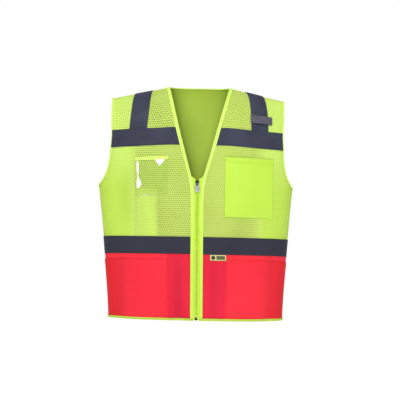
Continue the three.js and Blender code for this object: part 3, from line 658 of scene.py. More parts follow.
def makeMeshCloth():
    tree, shader, place = startMaterial("limeMesh", 0.9, **{"Sheen Weight": 0.03, "Sheen Roughness": 0.5,
                                                            "Specular IOR Level": 0.1})
    parts = splitUp(tree, place)
    pitchX, pitchY = meshCloth["pitch"]
    v = calc(tree, "DIVIDE", parts[1], pitchY * mm)
    # every other row of holes is half a pitch along
    row = calc(tree, "MODULO", calc(tree, "ADD", calc(tree, "FLOOR", v), 400.0), 2.0)
    u = calc(tree, "ADD", calc(tree, "DIVIDE", parts[0], pitchX * mm), calc(tree, "MULTIPLY", row, 0.5))
    spread = []
    for cell, pitch, hole in ((u, pitchX, meshCloth["hole"][0]), (v, pitchY, meshCloth["hole"][1])):
        away = calc(tree, "MULTIPLY", calc(tree, "SUBTRACT", calc(tree, "FRACT", cell), 0.5), pitch)
        spread.append(calc(tree, "POWER", calc(tree, "DIVIDE", away, hole), 2.0))
    radius = calc(tree, "SQRT", calc(tree, "ADD", *spread))
    solid = remap(tree, radius, 1 - meshCloth["soft"], 1 + meshCloth["soft"], kind="SMOOTHSTEP")
    # the open yarn lets some light through even where it is solid
    tree.links.new(calc(tree, "MULTIPLY", solid, meshCloth["cover"]), shader.inputs["Alpha"])
    rimRidgeAndShade = remap(tree, radius, 1.0, 1.9, kind="SMOOTHSTEP")
    addDye(tree, place, linear(206, 228, 118), linear(199, 220, 108))
    # painted shade: the cloth darkens towards the rims of the holes; the same rim value also raises the bump
    tint(tree, calc(tree, "SUBTRACT", 1.0, rimRidgeAndShade, clamp=True), linear(160, 188, 76))
    weave = addGroup(tree, weaveGroup, Place=place)
    height = calc(tree, "ADD", calc(tree, "MULTIPLY", weave.outputs["Height"], 0.25), rimRidgeAndShade)
    setBump(tree, height, 0.5, 0.25)


def makeTape():
    tree, shader, place = startMaterial("reflectiveTape", 0.6, **{"Specular IOR Level": 0.16})
    dye = addDye(tree, place, linear(54, 57, 73), linear(47, 49, 64), Patch=12.0, Grain=0.16)
    beads = addNode(tree, "ShaderNodeTexVoronoi", {"Vector": place, "Scale": 3200.0})
    glint = remap(tree, beads.outputs[0], 0.0, 0.5, 1.0, 0.0)
    tint(tree, calc(tree, "MULTIPLY", glint, 0.04), linear(150, 152, 166))
    # painted shade: the tape round the waist is darker than the one over the chest
    low = remap(tree, splitUp(tree, place)[1], 0.5, 0.3)
    tint(tree, calc(tree, "MULTIPLY", low, 0.9), linear(43, 43, 55))
    backing = addGroup(tree, weaveGroup, Place=place)
    height = calc(tree, "ADD", calc(tree, "MULTIPLY", backing.outputs["Height"], 0.4), glint)
    setBump(tree, height, 0.25, 0.06)
    tree.links.new(remap(tree, dye.outputs["Mask"], 0.0, 1.0, 0.52, 0.68), shader.inputs["Roughness"])


def makePlain(name, finish, roughness, metallic, grainScale, grainDepth, stretch=(1, 1, 1), **values):
    # hard finishes: a drifting colour, a grain bump and an uneven gloss, on the piece's own place
    tree, shader, place = startMaterial(name, roughness, "Object", **{"Metallic": metallic, **values})
    mapped = addNode(tree, "ShaderNodeMapping", {"Vector": place, "Scale": stretch}).outputs[0]
    addDye(tree, place, finish, darkened(finish, 0.82), Patch=120.0)
    noise = addNode(tree, "ShaderNodeTexNoise", {"Vector": mapped, "Scale": grainScale, "Detail": 4.0})
    grain = noise.outputs[0]
    setBump(tree, grain, 0.5, grainDepth)
    tree.links.new(remap(tree, grain, 0.3, 0.7, roughness * 0.8, roughness * 1.25), shader.inputs["Roughness"])


def makeFilm():
    tree, shader, place = startMaterial("clearFilm", 0.08, **{"Specular IOR Level": 0.7, "Coat Weight": 0.5})
    addDye(tree, place, linear(190, 222, 96), linear(180, 214, 84))
    # painted reflection: the glare patches are white and nearly opaque
    glare = painted(tree, "glare")
    tint(tree, glare, white)
    tree.links.new(remap(tree, glare, 0.0, 1.0, 0.1, 0.98), shader.inputs["Alpha"])
    ripples = addNode(tree, "ShaderNodeTexNoise", {"Vector": place, "Scale": 60.0, "Detail": 2.0})
    setBump(tree, ripples.outputs[0], 0.35, 1.2)


def makeLabelLook():
    # a pale woven label with a plain dark disc and two plain bars, no lettering
    tree, shader, place = startMaterial("wovenLabel", 0.7, **{"Sheen Weight": 0.1})
    addDye(tree, place, linear(196, 198, 122), linear(184, 190, 112))
    tint(tree, painted(tree, "mark"), linear(30, 34, 30))
    setBump(tree, addGroup(tree, weaveGroup, Place=place).outputs["Height"], 0.5, 0.1)


for clothName in clothLooks:
    clothMaterial(clothName)
clothMaterial("edgingCloth", "limeBinding")
makeBackKnit()
makeMeshCloth()
makeTape()
makeFilm()
makeLabelLook()
makePlain("zipPlastic", linear(200, 234, 66), 0.45, 0.0, 2000, 0.02)
makePlain("blackEnamel", linear(26, 26, 28), 0.3, 0.0, 1500, 0.02, **{"Coat Weight": 0.4})
makePlain("satinSteel", linear(196, 198, 206), 0.28, 1.0, 900, 0.02, stretch=(1, 1, 8))
makePlain("hookPatch", linear(70, 68, 78), 0.95, 0.0, 2600, 0.5)

# painted shade: the red cloth keeps its darker colour only within about 90 mm of the middle, on the strip beside
# the zip, and is lighter farther out
drift("redCloth", 1.0, linear(230, 45, 58), (0, 0.0895, 0.0915))
# painted shade: the lower pockets darken towards the sides, where the cloth turns away from the light
drift("redPocket", 0.8, linear(203, 27, 34), (0, 0.225, 0.275))
drift("edgingCloth", 0.9, linear(186, 214, 78), (1, 0.42, 0.18))
# painted light: towards the sides the mesh takes the paler colour of the lit facings behind it, greener low down
drift("limeMesh", 0.8, linear(215, 244, 121), (0, 0.16, 0.2))
drift("limeMesh", 0.75, linear(198, 230, 84), (0, 0.185, 0.205), (1, 0.48, 0.38))
# painted highlight: a pale soft band on the wearer's right below the card pocket
drift("limeMesh", 0.5, linear(226, 254, 122), (0, -0.11, -0.124), (0, -0.2, -0.14), (1, 0.4, 0.37),
      (1, 0.2, 0.25))

# painted shade: every cloth look is darkened in the hollows of its folds
for lookName in (*clothLooks, "backKnit", "edgingCloth", "limeMesh", "reflectiveTape"):
    tree = looks[lookName].node_tree
    socket = tree.nodes["Principled BSDF"].inputs["Base Color"]
    shaded = addGroup(tree, foldShadeGroup, Colour=socket.links[0].from_socket, Hollow=painted(tree, "foldShade"))
    tree.links.new(shaded.outputs["Colour"], socket)
print("vest: materials ready")

# Panels
shell, over, under = (0.0, 1.0), (1.6, 2.5), (-1.5, -0.7)  # how far the two skins are off the body
panels = {"cell": 6.0, "backCell": 8.0, "fuller": 0.8, "fullerFrom": 0.92, "fullerRise": 173}
insideShade = {"reach": 13.0, "leftDepth": 0.36, "rightDepth": 0.66, "farther": 0.957, "eye": 353.5}


def shadeInside(piece, edges, cell):
    # the inside of the back is darker close behind the neck edging
    u, v, girth, rise = layOut(edges, cell)
    x, y, z = np.moveaxis(bodyPoint(girth, rise), -1, 0)
    height = (z - insideShade["eye"]) * insideShade["farther"] + insideShade["eye"]
    neck = edgingInner(np.minimum(height, form["neckPoint"])) + edging["start"] + 1
    gap = neck - np.abs(x) * insideShade["farther"]
    depth = np.where(x > 0, insideShade["leftDepth"], insideShade["rightDepth"])
    dark = np.where(z > form["neckPoint"] + 2, 0, depth * np.exp(-np.maximum(gap, 0) / insideShade["reach"]))
    paint(piece, "shade", dark * 0, dark)


def fuller(u, v, girth, rise):
    # above the pocket's mouth the side of the panel stands as far out as the pocket does
    nearSide = np.clip((u - panels["fullerFrom"]) / (1 - panels["fullerFrom"]), 0, 1)
    return panels["fuller"] * nearSide * np.clip((rise - panels["fullerRise"]) / 4, 0, 1)


def makePanels():
    zipEdge, cell, backCell = byX(besideZip), panels["cell"], panels["backCell"]
    for side, word, body in clothSides:
        for name, edges, look, node, puff in (
                ("FrontMesh", (zipEdge, frontRight, seam, shoulderEdge), "limeMesh", "front_mesh", None),
                ("LowerFront", (zipEdge, atSide, hemEdge, seam), "redCloth", "front_lower_panel", fuller)):
            nodes = [f"{word}_{node}"] + ([] if side > 0 else [f"{word}_{node}_flap"])
            clothSheet(word + name, edges, shell, look, body, nodes, side, cell, puff)
    edges = (backLeft, lambda rise: 360 - backLeft(rise), seam, backNeckRise)
    panel = clothSheet("backPanel", edges, shell, "backKnit", "root", ["back_upper_panel"], 1, backCell)
    shadeInside(panel, edges, backCell)
    clothSheet("backLower", (atSide, atFarSide, hemEdge, seam), shell, "redCloth", "root",
               ["back_lower_panel"], 1, backCell)


# Reflective tapes
tapes = {
    "cell": 4.0, "backCell": 5.0, "puff": 0.35, "puffShare": 0.08, "short": 1.5, "over": 0.9, "gap": 0.3,
    # the shoulder tapes' middle at the top and at the foot, and their bulge
    "shoulder": {"left": (161, 182, 4.5), "right": (164, 174.5, 0)}, "topBehind": 172,
}


def edgePress(depth, share):
    # a sewn piece lies flat along its seams and stands off a little in the middle
    def puff(u, v, girth, rise):
        near = np.minimum(np.minimum(u, 1 - u), np.minimum(v, 1 - v))
        return depth * np.clip(near / share, 0, 1) ** 0.6
    return puff


tapePress = edgePress(tapes["puff"], tapes["puffShare"])


def overEnd(u, v, girth, rise):
    # the chest tape is sewn down over the armhole binding
    return tapePress(u, v, girth, rise) + tapes["over"] * np.clip((u - 0.95) / 0.02, 0, 1)


def towardsSide(u, v, girth, rise):
    return tapePress(u, v, girth, rise) - tapes["over"] * np.clip((u - 0.94) / 0.06, 0, 1)


def shoulderTapeEdge(top, foot, bulge, aside):
    first = riseAt(foot, chestTapeTop(foot))
    reach = form["shoulder"] - first

    def girth(rise):
        share = np.clip((rise - first) / reach, 0, 1)
        front = foot + (top - foot) * share + bulge * np.sin(math.pi * share)
        behind = top + (tapes["topBehind"] - top) * np.clip((rise - form["shoulder"]) / reach, 0, 1)
        return girthAt(np.where(rise < form["shoulder"], front, behind) + aside, form["cap"])
    return girth


def layTape(name, edges, body, nodes, side, puff, cell):
    clothSheet(name, edges, over, "reflectiveTape", body, nodes, side, cell, puff)


def makeTapes():
    chest = (byHeight(below(chestTapeTop, levels["tape"])), byHeight(chestTapeTop))
    waist = (below(waistTapeTop, levels["tape"]), waistTapeTop)
    inner, outer = byX(besideEdging), byX(below(armholeX, tapes["short"]))
    for side, word, body in clothSides:
        layTape(f"{word}ChestTape", (inner, outer, *chest), body, [f"{word}_chest_tape"], side, overEnd,
                tapes["cell"])
        flap = [] if side > 0 else ["right_waist_tape_flap"]
        layTape(f"{word}WaistTape", (inner, atSide, *waist), body, [f"{word}_waist_tape", *flap], side,
                towardsSide, tapes["cell"])
    backInner = byX(lambda height: armholeX(height, "back") - tapes["gap"], True)
    layTape("backChestTape", (backInner, lambda rise: 360 - backInner(rise), *chest), "root",
            ["back_chest_tape"], 1, tapePress, tapes["backCell"])
    layTape("backWaistTape", (atSide, atFarSide, *waist), "root", ["back_waist_tape"], 1, tapePress,
            tapes["backCell"])
    start = byHeight(below(chestTapeTop, -tapes["gap"]))
    for side, word, body in clothSides:
        middle, half = tapes["shoulder"][word], levels["tape"] / 2
        edges = (shoulderTapeEdge(*middle, -half), shoulderTapeEdge(*middle, half), start,
                 lambda girth: 2 * form["shoulder"] - start(girth))
        layTape(f"{word}ShoulderTape", edges, "root", [f"{word}_shoulder_tape"], side, tapePress,
                tapes["cell"])


# Pockets: near and far edge, height of the mouth, how much it falls outwards, and how tall the pocket is
pockets = {
    "chest": (81, 223, 481, 0.038, 176), "chestHem": 12, "chestPuff": (0.6, 1.4),
    "card": (86, 181, 481.3, 0.063, 115), "strip": 9.5, "filmCell": 1.6,
    "lower": (88, 16.2), "lowerPuff": (0.5, 1.0), "lowerPress": 1.2,
    "glarePatches": [  # corners of the painted glare on the film, white patches standing in for the lamps' reflection, as shares of its width and height
        [(0.60, 0.99), (0.88, 1.0), (0.89, 0.95), (0.79, 0.87), (0.75, 0.80), (0.67, 0.89)],
        [(0.04, 0.99), (0.10, 0.95), (0.12, 0.70), (0.10, 0.57), (0.17, 0.44), (0.21, 0.33), (0.14, 0.24),
         (0.07, 0.22), (0.05, 0.38), (0.08, 0.51), (0.05, 0.70)],
        [(0.14, 0.005), (0.50, 0.03), (0.50, 0.012), (0.15, -0.01)]],
}


def slanted(top, fall, near):
    return lambda x: top - fall * (np.abs(x) - near)


def insidePolygon(x, y, corners):
    inside = np.zeros(np.shape(x), bool)
    for (ax, ay), (bx, by) in zip(corners, corners[1:] + corners[:1]):
        crosses = (ay > y) != (by > y)
        inside ^= crosses & (x < (bx - ax) * (y - ay) / (by - ay + 1e-12) + ax)
    return inside


def paintGlare(piece, edges):
    # painted reflection: white glare patches on the film, blurred a little at their edges
    u, v, girth, rise = layOut(edges, pockets["filmCell"])
    share = 1 - u  # the film is mirrored, so its far side is on the left as seen from the front
    mask, blur = np.zeros(u.shape), 0.012
    for corners in pockets["glarePatches"]:
        for dx, dy in ((0, 0), (blur, 0), (-blur, 0), (0, blur), (0, -blur)):
            mask += insidePolygon(share + dx, v + dy, corners) / 5
    mask = np.clip(mask, 0, 1)
    paint(piece, "glare", mask, mask)


def fromSides(u, share):
    return np.clip(np.minimum(u, 1 - u) / share, 0, 1)


def chestPuff(u, v, girth, rise):
    # flat at its seams, open a little at the mouth
    least, more = pockets["chestPuff"]
    return fromSides(u, 0.1) * np.clip(v / 0.08, 0, 1) * (least + more * v ** 3)


def chestHemPuff(u, v, girth, rise):
    return fromSides(u, 0.1) * sum(pockets["chestPuff"])


def filmPuff(u, v, girth, rise):
    return fromSides(u, 0.12) * np.clip(v / 0.1, 0, 1) * (0.8 + 0.5 * np.sin(9 * u + 4 * v) * np.sin(7 * v + 2))


def stripPuff(u, v, girth, rise):
    return 0.5 * (1 - (2 * v - 1) ** 2)


def lowerPuff(u, v, girth, rise):
    least, more = pockets["lowerPuff"]
    pressed = pockets["lowerPress"] * np.clip((u - 0.93) / 0.07, 0, 1)
    return fromSides(u, 0.06) * np.clip(v / 0.06, 0, 1) * (least + more * v ** 2) - pressed


def makePockets():
    near, far, top, fall, tall = pockets["chest"]
    mouth = byHeight(slanted(top, fall, near))
    foot = byHeight(slanted(top - tall, fall / 2, near))
    hemFoot = byHeight(slanted(top - pockets["chestHem"], fall, near))
    clothSheet("chestPocket", (atX(near), atX(far), foot, mouth), over, "limeKnit", "root",
               ["chest_pocket"], 1, 4.0, chestPuff)
    clothSheet("chestPocketHem", (atX(near), atX(far), hemFoot, mouth), (2.6, 3.2), "limeKnit", "root", [], 1,
               4.0, chestHemPuff)

    near, far, top, fall, tall = pockets["card"]
    line, strip = slanted(top, fall, near), pockets["strip"]
    film = (atX(near), atX(far), byHeight(below(line, tall)), byHeight(below(line, strip - 1)))
    piece = clothSheet("cardPocketFilm", film, (1.6, 2.0), "clearFilm", "bend", ["id_pocket_film"], -1,
                       pockets["filmCell"], filmPuff)
    paintGlare(piece, film)
    clothSheet("cardPocketBinding", (*film[:2], byHeight(below(line, strip)), byHeight(line)), (2.0, 3.2),
               "limeBinding", "bend", ["id_pocket_strip"], -1, 2.4, stripPuff, declare=False)
    near, drop = pockets["lower"]
    lower = (atX(near), atSide, hemEdge, below(waistTapeTop, levels["tape"] + drop))
    for side, word, body in clothSides:
        clothSheet(f"{word}LowerPocket", lower, over, "redPocket", body, [f"{word}_lower_pocket"], side, 5.0,
                   lowerPuff)


# Cloth behind the mesh, and the label
inside = {"facingFrom": 183, "facingGap": 2, "foot": 223, "pocket": (117, 173), "pocketTop": 382}
label = {"sides": (39, 86.5), "top": 0.8, "foot": 18.0, "size": (47.5, 17.2), "cell": 0.8, "disc": (0.2, 6.0),
         "bars": ((0.54, 0.80), (0.22, 0.46)), "barSides": (0.4, 0.92), "border": 1.0, "borderShade": 0.45}


def makeInsides():
    foot = constant(inside["foot"])
    outer = byX(below(sideX, inside["facingGap"]))
    facing = (atX(inside["facingFrom"]), lambda rise: np.minimum(outer(rise), 90), foot,
              byHeight(below(chestTapeTop, levels["tape"] / 2)))
    for side, word, body in clothSides:
        clothSheet(f"{word}SideFacing", facing, under, "limeKnit", "root", [f"{word}_side_facing"], side, 6.0)
    near, far = inside["pocket"]
    clothSheet("innerPocket", (atX(near), atX(far), foot, constant(inside["pocketTop"])), under, "limeKnit",
               "root", ["inner_pocket"], -1, 5.0)


def makeLabel():
    near, far = label["sides"]
    edges = (atX(near), atX(far), below(waistTapeTop, levels["tape"] + label["foot"]),
             below(waistTapeTop, levels["tape"] + label["top"]))
    piece = clothSheet("sewnLabel", edges, over, "wovenLabel", "root", ["label"], 1, label["cell"],
                       edgePress(0.3, 0.2))
    u, v, girth, rise = layOut(edges, label["cell"])
    (wide, tall), (centre, radius) = label["size"], label["disc"]
    marks = np.hypot((u - centre) * wide, (v - 0.5) * tall) < radius
    start, end = label["barSides"]
    for low, high in label["bars"]:
        marks |= (u > start) & (u < end) & (v > low) & (v < high)
    rim = (np.minimum(u, 1 - u) * wide < label["border"]) | (np.minimum(v, 1 - v) * tall < label["border"])
    values = np.where(marks, 1.0, np.where(rim, label["borderShade"], 0.0))
    paint(piece, "mark", values, values)


makePanels()
makeTapes()
makePockets()
makeInsides()
makeLabel()
print("vest: cloth pieces ready")

# Edging and bindings: each outline is past the edge and off the cloth, in millimetres
bindings = {
    "arm": [(-4, 2.3), (1.0, 2.3), (1.8, 1.8), (2.0, 0.5), (1.8, -1.6), (1.0, -2.3), (-4.5, -2.3), (-4.5, -1.8),
            (0.8, -1.8), (1.4, 0.5), (0.8, 1.7), (-4, 1.7)],
    "neck": [(-4, 1.7), (0.4, 1.8), (1.1, 1.4), (1.3, 0.4), (1.1, -0.8), (0.6, -1.2), (-1.2, -1.2), (-1.2, -0.7),
             (0.2, -0.7), (0.7, 0.4), (0.2, 1.3), (-4, 1.2)],
    "hem": [(-4.6, 4.0), (1.2, 4.0), (2.2, 3.2), (2.5, 1.0), (2.2, -0.6), (1.2, -1.4), (-5.5, -1.4), (-5.5, -0.8),
            (1.0, -0.8), (1.6, 0.9), (1.0, 3.3), (-4.6, 3.3)],
    "neckSpread": 20.2, "neckCount": 90, "hemCount": 320, "rightHemCount": 130, "crown": 0.7,
}


def crown(u, v, girth, rise):
    return bindings["crown"] * (1 - (2 * u - 1) ** 2)


def makeEdgings():
    edges = (byX(lambda h: edgingInner(h) + edging["start"] + widened(h)),
             byX(lambda h: edgingInner(h) + edging["end"] + widened(h)), constant(0), shoulderEdge)
    for side, word, body, nodes in ((1, "left", "root", ["left_edging"]),
                                    (-1, "right", "bend", ["right_neck_edging", "right_edging_flap"])):
        clothSheet(f"{word}Edging", edges, over, "edgingCloth", body, nodes, side, 3.0, crown, declare=False)


def makeBindings():
    first, last = (lengthOf(180 + step * bindings["neckSpread"]) for step in (-1, 1))
    girth = girthOf(np.linspace(first, last, bindings["neckCount"]))
    sweep("backNeckBinding", *edgeLine(girth, backNeckRise(girth), False, 2.0), bindings["neck"], False,
          "limeBinding", "root", ["back_neck_binding"])
    start, whole = lengthOf(float(byX(besideZip)(np.array([3.0]))[0])), lengthOf(360.0)
    for name, low, high, count, body, node in (
            ("hemBinding", start, whole - sideLength, bindings["hemCount"], "root", "hem_binding"),
            ("rightHemBinding", whole - sideLength, whole - start, bindings["rightHemCount"], "bend",
             "hem_binding_flap")):
        girth = girthOf(np.linspace(low, high, count))
        line = edgeLine(girth, np.full(girth.shape, float(levels["hemEdge"])), False, -2.0)
        sweep(name, *line, bindings["hem"], False, "hemCloth", body, [node])
    rises = np.concatenate([np.linspace(form["armpit"], form["armpit"] + 12, 10),
                            np.linspace(form["armpit"] + 14, form["shoulder"], 84)])
    girth = np.concatenate([frontRight(rises), backLeft(rises)[::-1][1:-1]])
    rise = np.concatenate([rises, rises[::-1][1:-1]])
    for side, word, body in clothSides:
        line = edgeLine(girth * side, rise, True, lambda points: points.mean(0) - points)
        sweep(f"{word}ArmholeBinding", *line, bindings["arm"], True, "armBinding", "root",
              [f"{word}_armhole_binding"])


makeEdgings()
makeBindings()
print("vest: bindings ready")

# Zip: the chain of teeth, its ends, the slider and the pull
zipChain = {
    "pitch": 5.0, "toothFrom": -2.9, "tip": 0.95, "toothHalf": 0.85, "spine": (2.55, 4.05), "front": -105.7,
    "thick": 2.4, "top": 410.6, "cord": (0.75, 1.15), "cordStep": 2.5, "leftFoot": 24.6, "rightFoot": 11.3,
}
chainFront, chainBack = zipChain["front"], zipChain["front"] + zipChain["thick"]
chainMiddle = (chainFront + chainBack) / 2


def startBlock(name, low, high, look):
    bpy.ops.object.select_all(action="DESELECT")
    low, high = Vector(low), Vector(high)
    shift = Vector((0, 0, -form["zeroHeight"]))
    bpy.ops.mesh.primitive_cube_add(size=1, location=(0, 0, 0))
    block = bpy.context.object
    block.name = block.data.name = name
    size = Matrix.Diagonal((*((high - low) * mm), 1))
    block.data.transform(Matrix.Translation(((low + high) / 2 + shift) * mm) @ size)
    block.data.materials.append(looks[look])
    return block


def choose(block):
    bpy.ops.object.select_all(action="DESELECT")
    bpy.context.view_layer.objects.active = block
    block.select_set(True)


def editFaces(block, test, *steps):
    # carries out the steps in edit mode on the faces whose middle and normal pass the test
    choose(block)
    bpy.ops.object.mode_set(mode="EDIT")
    bpy.ops.mesh.select_mode(type="FACE")
    bpy.ops.mesh.select_all(action="DESELECT")
    cells = bmesh.from_edit_mesh(block.data)
    for face in cells.faces:
        middle = face.calc_center_median() / mm + Vector((0, 0, form["zeroHeight"]))
        face.select_set(bool(test(middle, face.normal)))
    bmesh.update_edit_mesh(block.data)
    for step in steps:
        step()
    bpy.ops.object.mode_set(mode="OBJECT")


def everyFace(middle, normal):
    return True


def mergePoints():
    bpy.ops.mesh.remove_doubles(threshold=0.001 * mm)


def facesTowards(x=0, y=0, z=0):
    return lambda middle, normal: normal.dot(Vector((x, y, z))) > 0.9


def scaleBy(x, y, z, centre):
    place = (centre[0] * mm, centre[1] * mm, (centre[2] - form["zeroHeight"]) * mm)
    return lambda: bpy.ops.transform.resize(value=(x, y, z), center_override=place)


def insetBy(width):
    return lambda: bpy.ops.mesh.inset(thickness=width * mm)


def pushBy(x, y, z):
    move = {"value": (x * mm, y * mm, z * mm)}
    return lambda: bpy.ops.mesh.extrude_region_move(TRANSFORM_OT_translate=move)


def applyAll(block):
    choose(block)
    for modifier in list(block.modifiers):
        bpy.ops.object.modifier_apply(modifier=modifier.name)


def roundEdges(block, width, segments=2):
    bevel = block.modifiers.new("edges", "BEVEL")
    bevel.width, bevel.segments, bevel.limit_method = width * mm, segments, "ANGLE"
    bevel.angle_limit = math.radians(30)
    applyAll(block)
    editFaces(block, everyFace, mergePoints)
    block.data.shade_smooth()
    block.data.set_sharp_from_angle(angle=math.radians(40))


def joinBlocks(name, blocks):
    choose(blocks[0])
    for block in blocks:
        block.select_set(True)
    bpy.ops.object.join()
    blocks[0].name = blocks[0].data.name = name
    return blocks[0]


def finishHard(piece, body, nodes):
    attach(piece, body, nodes)


def makeTooth():
    # one tooth, pointing to +X from its cord, at height 0
    zero, half, tip = form["zeroHeight"], zipChain["toothHalf"], zipChain["tip"]
    tooth = startBlock("tooth", (zipChain["toothFrom"], chainFront, zero - half), (tip, chainBack, zero + half),
                       "zipPlastic")
    editFaces(tooth, facesTowards(x=1), insetBy(0.25), pushBy(0, 0, 0),
              scaleBy(1, 0.8, 1.0, (tip, chainMiddle, zero)))
    roundEdges(tooth, 0.3, 1)
    return tooth


def makeCord(side, foot, start):
    # the cord that the teeth are moulded on, with its first point numbered start
    rings = np.arange(foot, zipChain["top"] + 0.01, zipChain["cordStep"])
    turn = np.linspace(0, 2 * math.pi, 9)[:-1]
    wide, deep = zipChain["cord"]
    middle = sum(zipChain["spine"]) / 2 * side
    ring = np.stack([middle + np.cos(turn) * wide, chainMiddle + np.sin(turn) * deep, turn * 0], -1)
    faces = []
    for base in range(start, start + (len(rings) - 1) * 8, 8):
        faces += [(base + k, base + (k + 1) % 8, base + 8 + (k + 1) % 8, base + 8 + k) for k in range(8)]
    last = start + (len(rings) - 1) * 8
    faces += [tuple(range(start + 7, start - 1, -1)), tuple(range(last, last + 8))]
    return np.concatenate([ring + (0, 0, h) for h in rings]), faces


def makeChain():
    tooth = makeTooth()
    shape = np.array([v.co for v in tooth.data.vertices]) / mm
    faces = [tuple(p.vertices) for p in tooth.data.polygons]
    bpy.data.objects.remove(tooth)
    leftFoot, rightFoot, pitch = zipChain["leftFoot"], zipChain["rightFoot"], zipChain["pitch"]
    # the right row stands half a pitch below the left one
    starts = {"left": leftFoot + 2.25, "right": rightFoot + (leftFoot - rightFoot) % pitch - 0.25}
    for side, word, body in hardSides:
        heights = np.arange(starts[word], zipChain["top"] - 1, pitch)
        shown = shape * (-side, 1, 1)
        order = [f[::-1] for f in faces] if side > 0 else faces
        vertices = np.concatenate([shown + (0, 0, h) for h in heights])
        allFaces = [tuple(i + k * len(shape) for i in f) for k in range(len(heights)) for f in order]
        cord, cordFaces = makeCord(side, leftFoot if side > 0 else rightFoot, len(vertices))
        vertices = np.concatenate([vertices, cord])
        uv = vertices[:, [0, 2]] * mm
        piece = makePiece(f"{word}ZipChain", inFrame(vertices), allFaces + cordFaces, "zipPlastic", uv)
        attach(piece, body, [f"{word}_zip_teeth"])


zipTape = {"inner": 4.3, "outer": 4, "foot": 2, "top": 413.4, "slope": 0.7, "skins": (-0.1, 0.9),
           "behind": (0.6, 5.0, 411), "behindSkins": (-0.95, -0.75), "cell": 1.6}


def makeZipTapes():
    foot, cell = constant(zipTape["foot"]), zipTape["cell"]
    edges = (atX(zipTape["inner"]), byX(lambda h: edgingInner(h) + zipTape["outer"]), foot,
             byHeight(lambda x: zipTape["top"] + (x - 4) * zipTape["slope"]))
    near, far, top = zipTape["behind"]
    behind = (atX(near), atX(far), foot, constant(top))  # the same tape carries on behind the teeth
    for side, word, body in hardSides:
        clothSheet(f"{word}ZipTape", edges, zipTape["skins"], "zipCloth", body, [f"{word}_zip_tape"], side,
                   cell, declare=False)
    for side, word, body in hardSides:
        clothSheet(f"{word}ZipBacking", behind, zipTape["behindSkins"], "zipCloth", body, [], side, cell,
                   declare=False)


zipEnds = {"inner": 1.25, "outer": 4.05, "stop": (410.9, 413.1), "pin": (2.3, 24.3), "box": (2, 7), "hold": 11}


def makeZipEnds():
    inner, outer = zipEnds["inner"], zipEnds["outer"]
    for side, word, body in hardSides:
        low, high = sorted((inner * side, outer * side))
        stopFoot, stopTop = zipEnds["stop"]
        stop = startBlock(f"{word}TopStop", (low, chainFront, stopFoot), (high, chainBack, stopTop),
                          "blackEnamel")
        roundEdges(stop, 0.4)
        finishHard(stop, body, [f"{word}_top_stop"])
    foot, top = zipEnds["pin"]
    pin = startBlock("insertionPin", (inner, chainFront + 0.3, foot), (outer, chainBack - 0.3, top),
                     "zipPlastic")
    editFaces(pin, facesTowards(z=-1), scaleBy(0.6, 0.8, 1, (2.6, chainMiddle, foot)))
    roundEdges(pin, 0.35)
    finishHard(pin, "root", ["insertion_pin"])
    foot, top = zipEnds["box"]
    face = startBlock("retainerBox", (-outer, chainFront - 0.6, foot), (outer, chainFront, top), "blackEnamel")
    editFaces(face, facesTowards(y=-1), insetBy(1.0), pushBy(0, -0.25, 0))
    roundEdges(face, 0.2)
    hold = startBlock("boxHold", (-outer, chainFront - 0.3, foot), (0.5, chainBack + 0.6, zipEnds["hold"]),
                      "blackEnamel")
    roundEdges(hold, 0.35)
    finishHard(joinBlocks("retainerBox", [face, hold]), "right_front", ["retainer_box"])


slider = {"half": 5.5, "foot": 396.6, "top": 410.6, "shoulder": 8.4, "gap": 0.35, "thick": 1.6,
          "rear": (0.5, -102.95, -101.35), "flange": (4.5, 5.3), "bailHalf": 1.6, "bailReach": (1.5, 2.65),
          "bailAxis": (-108.6, 401.2), "bailFoot": 1.6}


def makeBail():
    # one bar bent over from foot to foot, by a spin about the axis that the pull hangs from
    half, (inner, outer), (axisY, axisZ) = slider["bailHalf"], slider["bailReach"], slider["bailAxis"]
    centre = (0, axisY * mm, (axisZ - form["zeroHeight"]) * mm)
    bail = startBlock("bail", (-half, axisY, axisZ + inner), (half, axisY + 1, axisZ + outer), "blackEnamel")
    editFaces(bail, lambda middle, normal: normal.y > -0.9, lambda: bpy.ops.mesh.delete(type="FACE"))
    editFaces(bail, everyFace,
              lambda: bpy.ops.mesh.spin(steps=10, angle=-math.pi, center=centre, axis=(1, 0, 0)))
    editFaces(bail, lambda middle, normal: abs(normal.y) > 0.98 and abs(middle.y - axisY) < 0.01,
              pushBy(0, slider["bailFoot"], 0))
    editFaces(bail, everyFace, mergePoints, lambda: bpy.ops.mesh.normals_make_consistent(inside=False))
    roundEdges(bail, 0.25)
    return bail


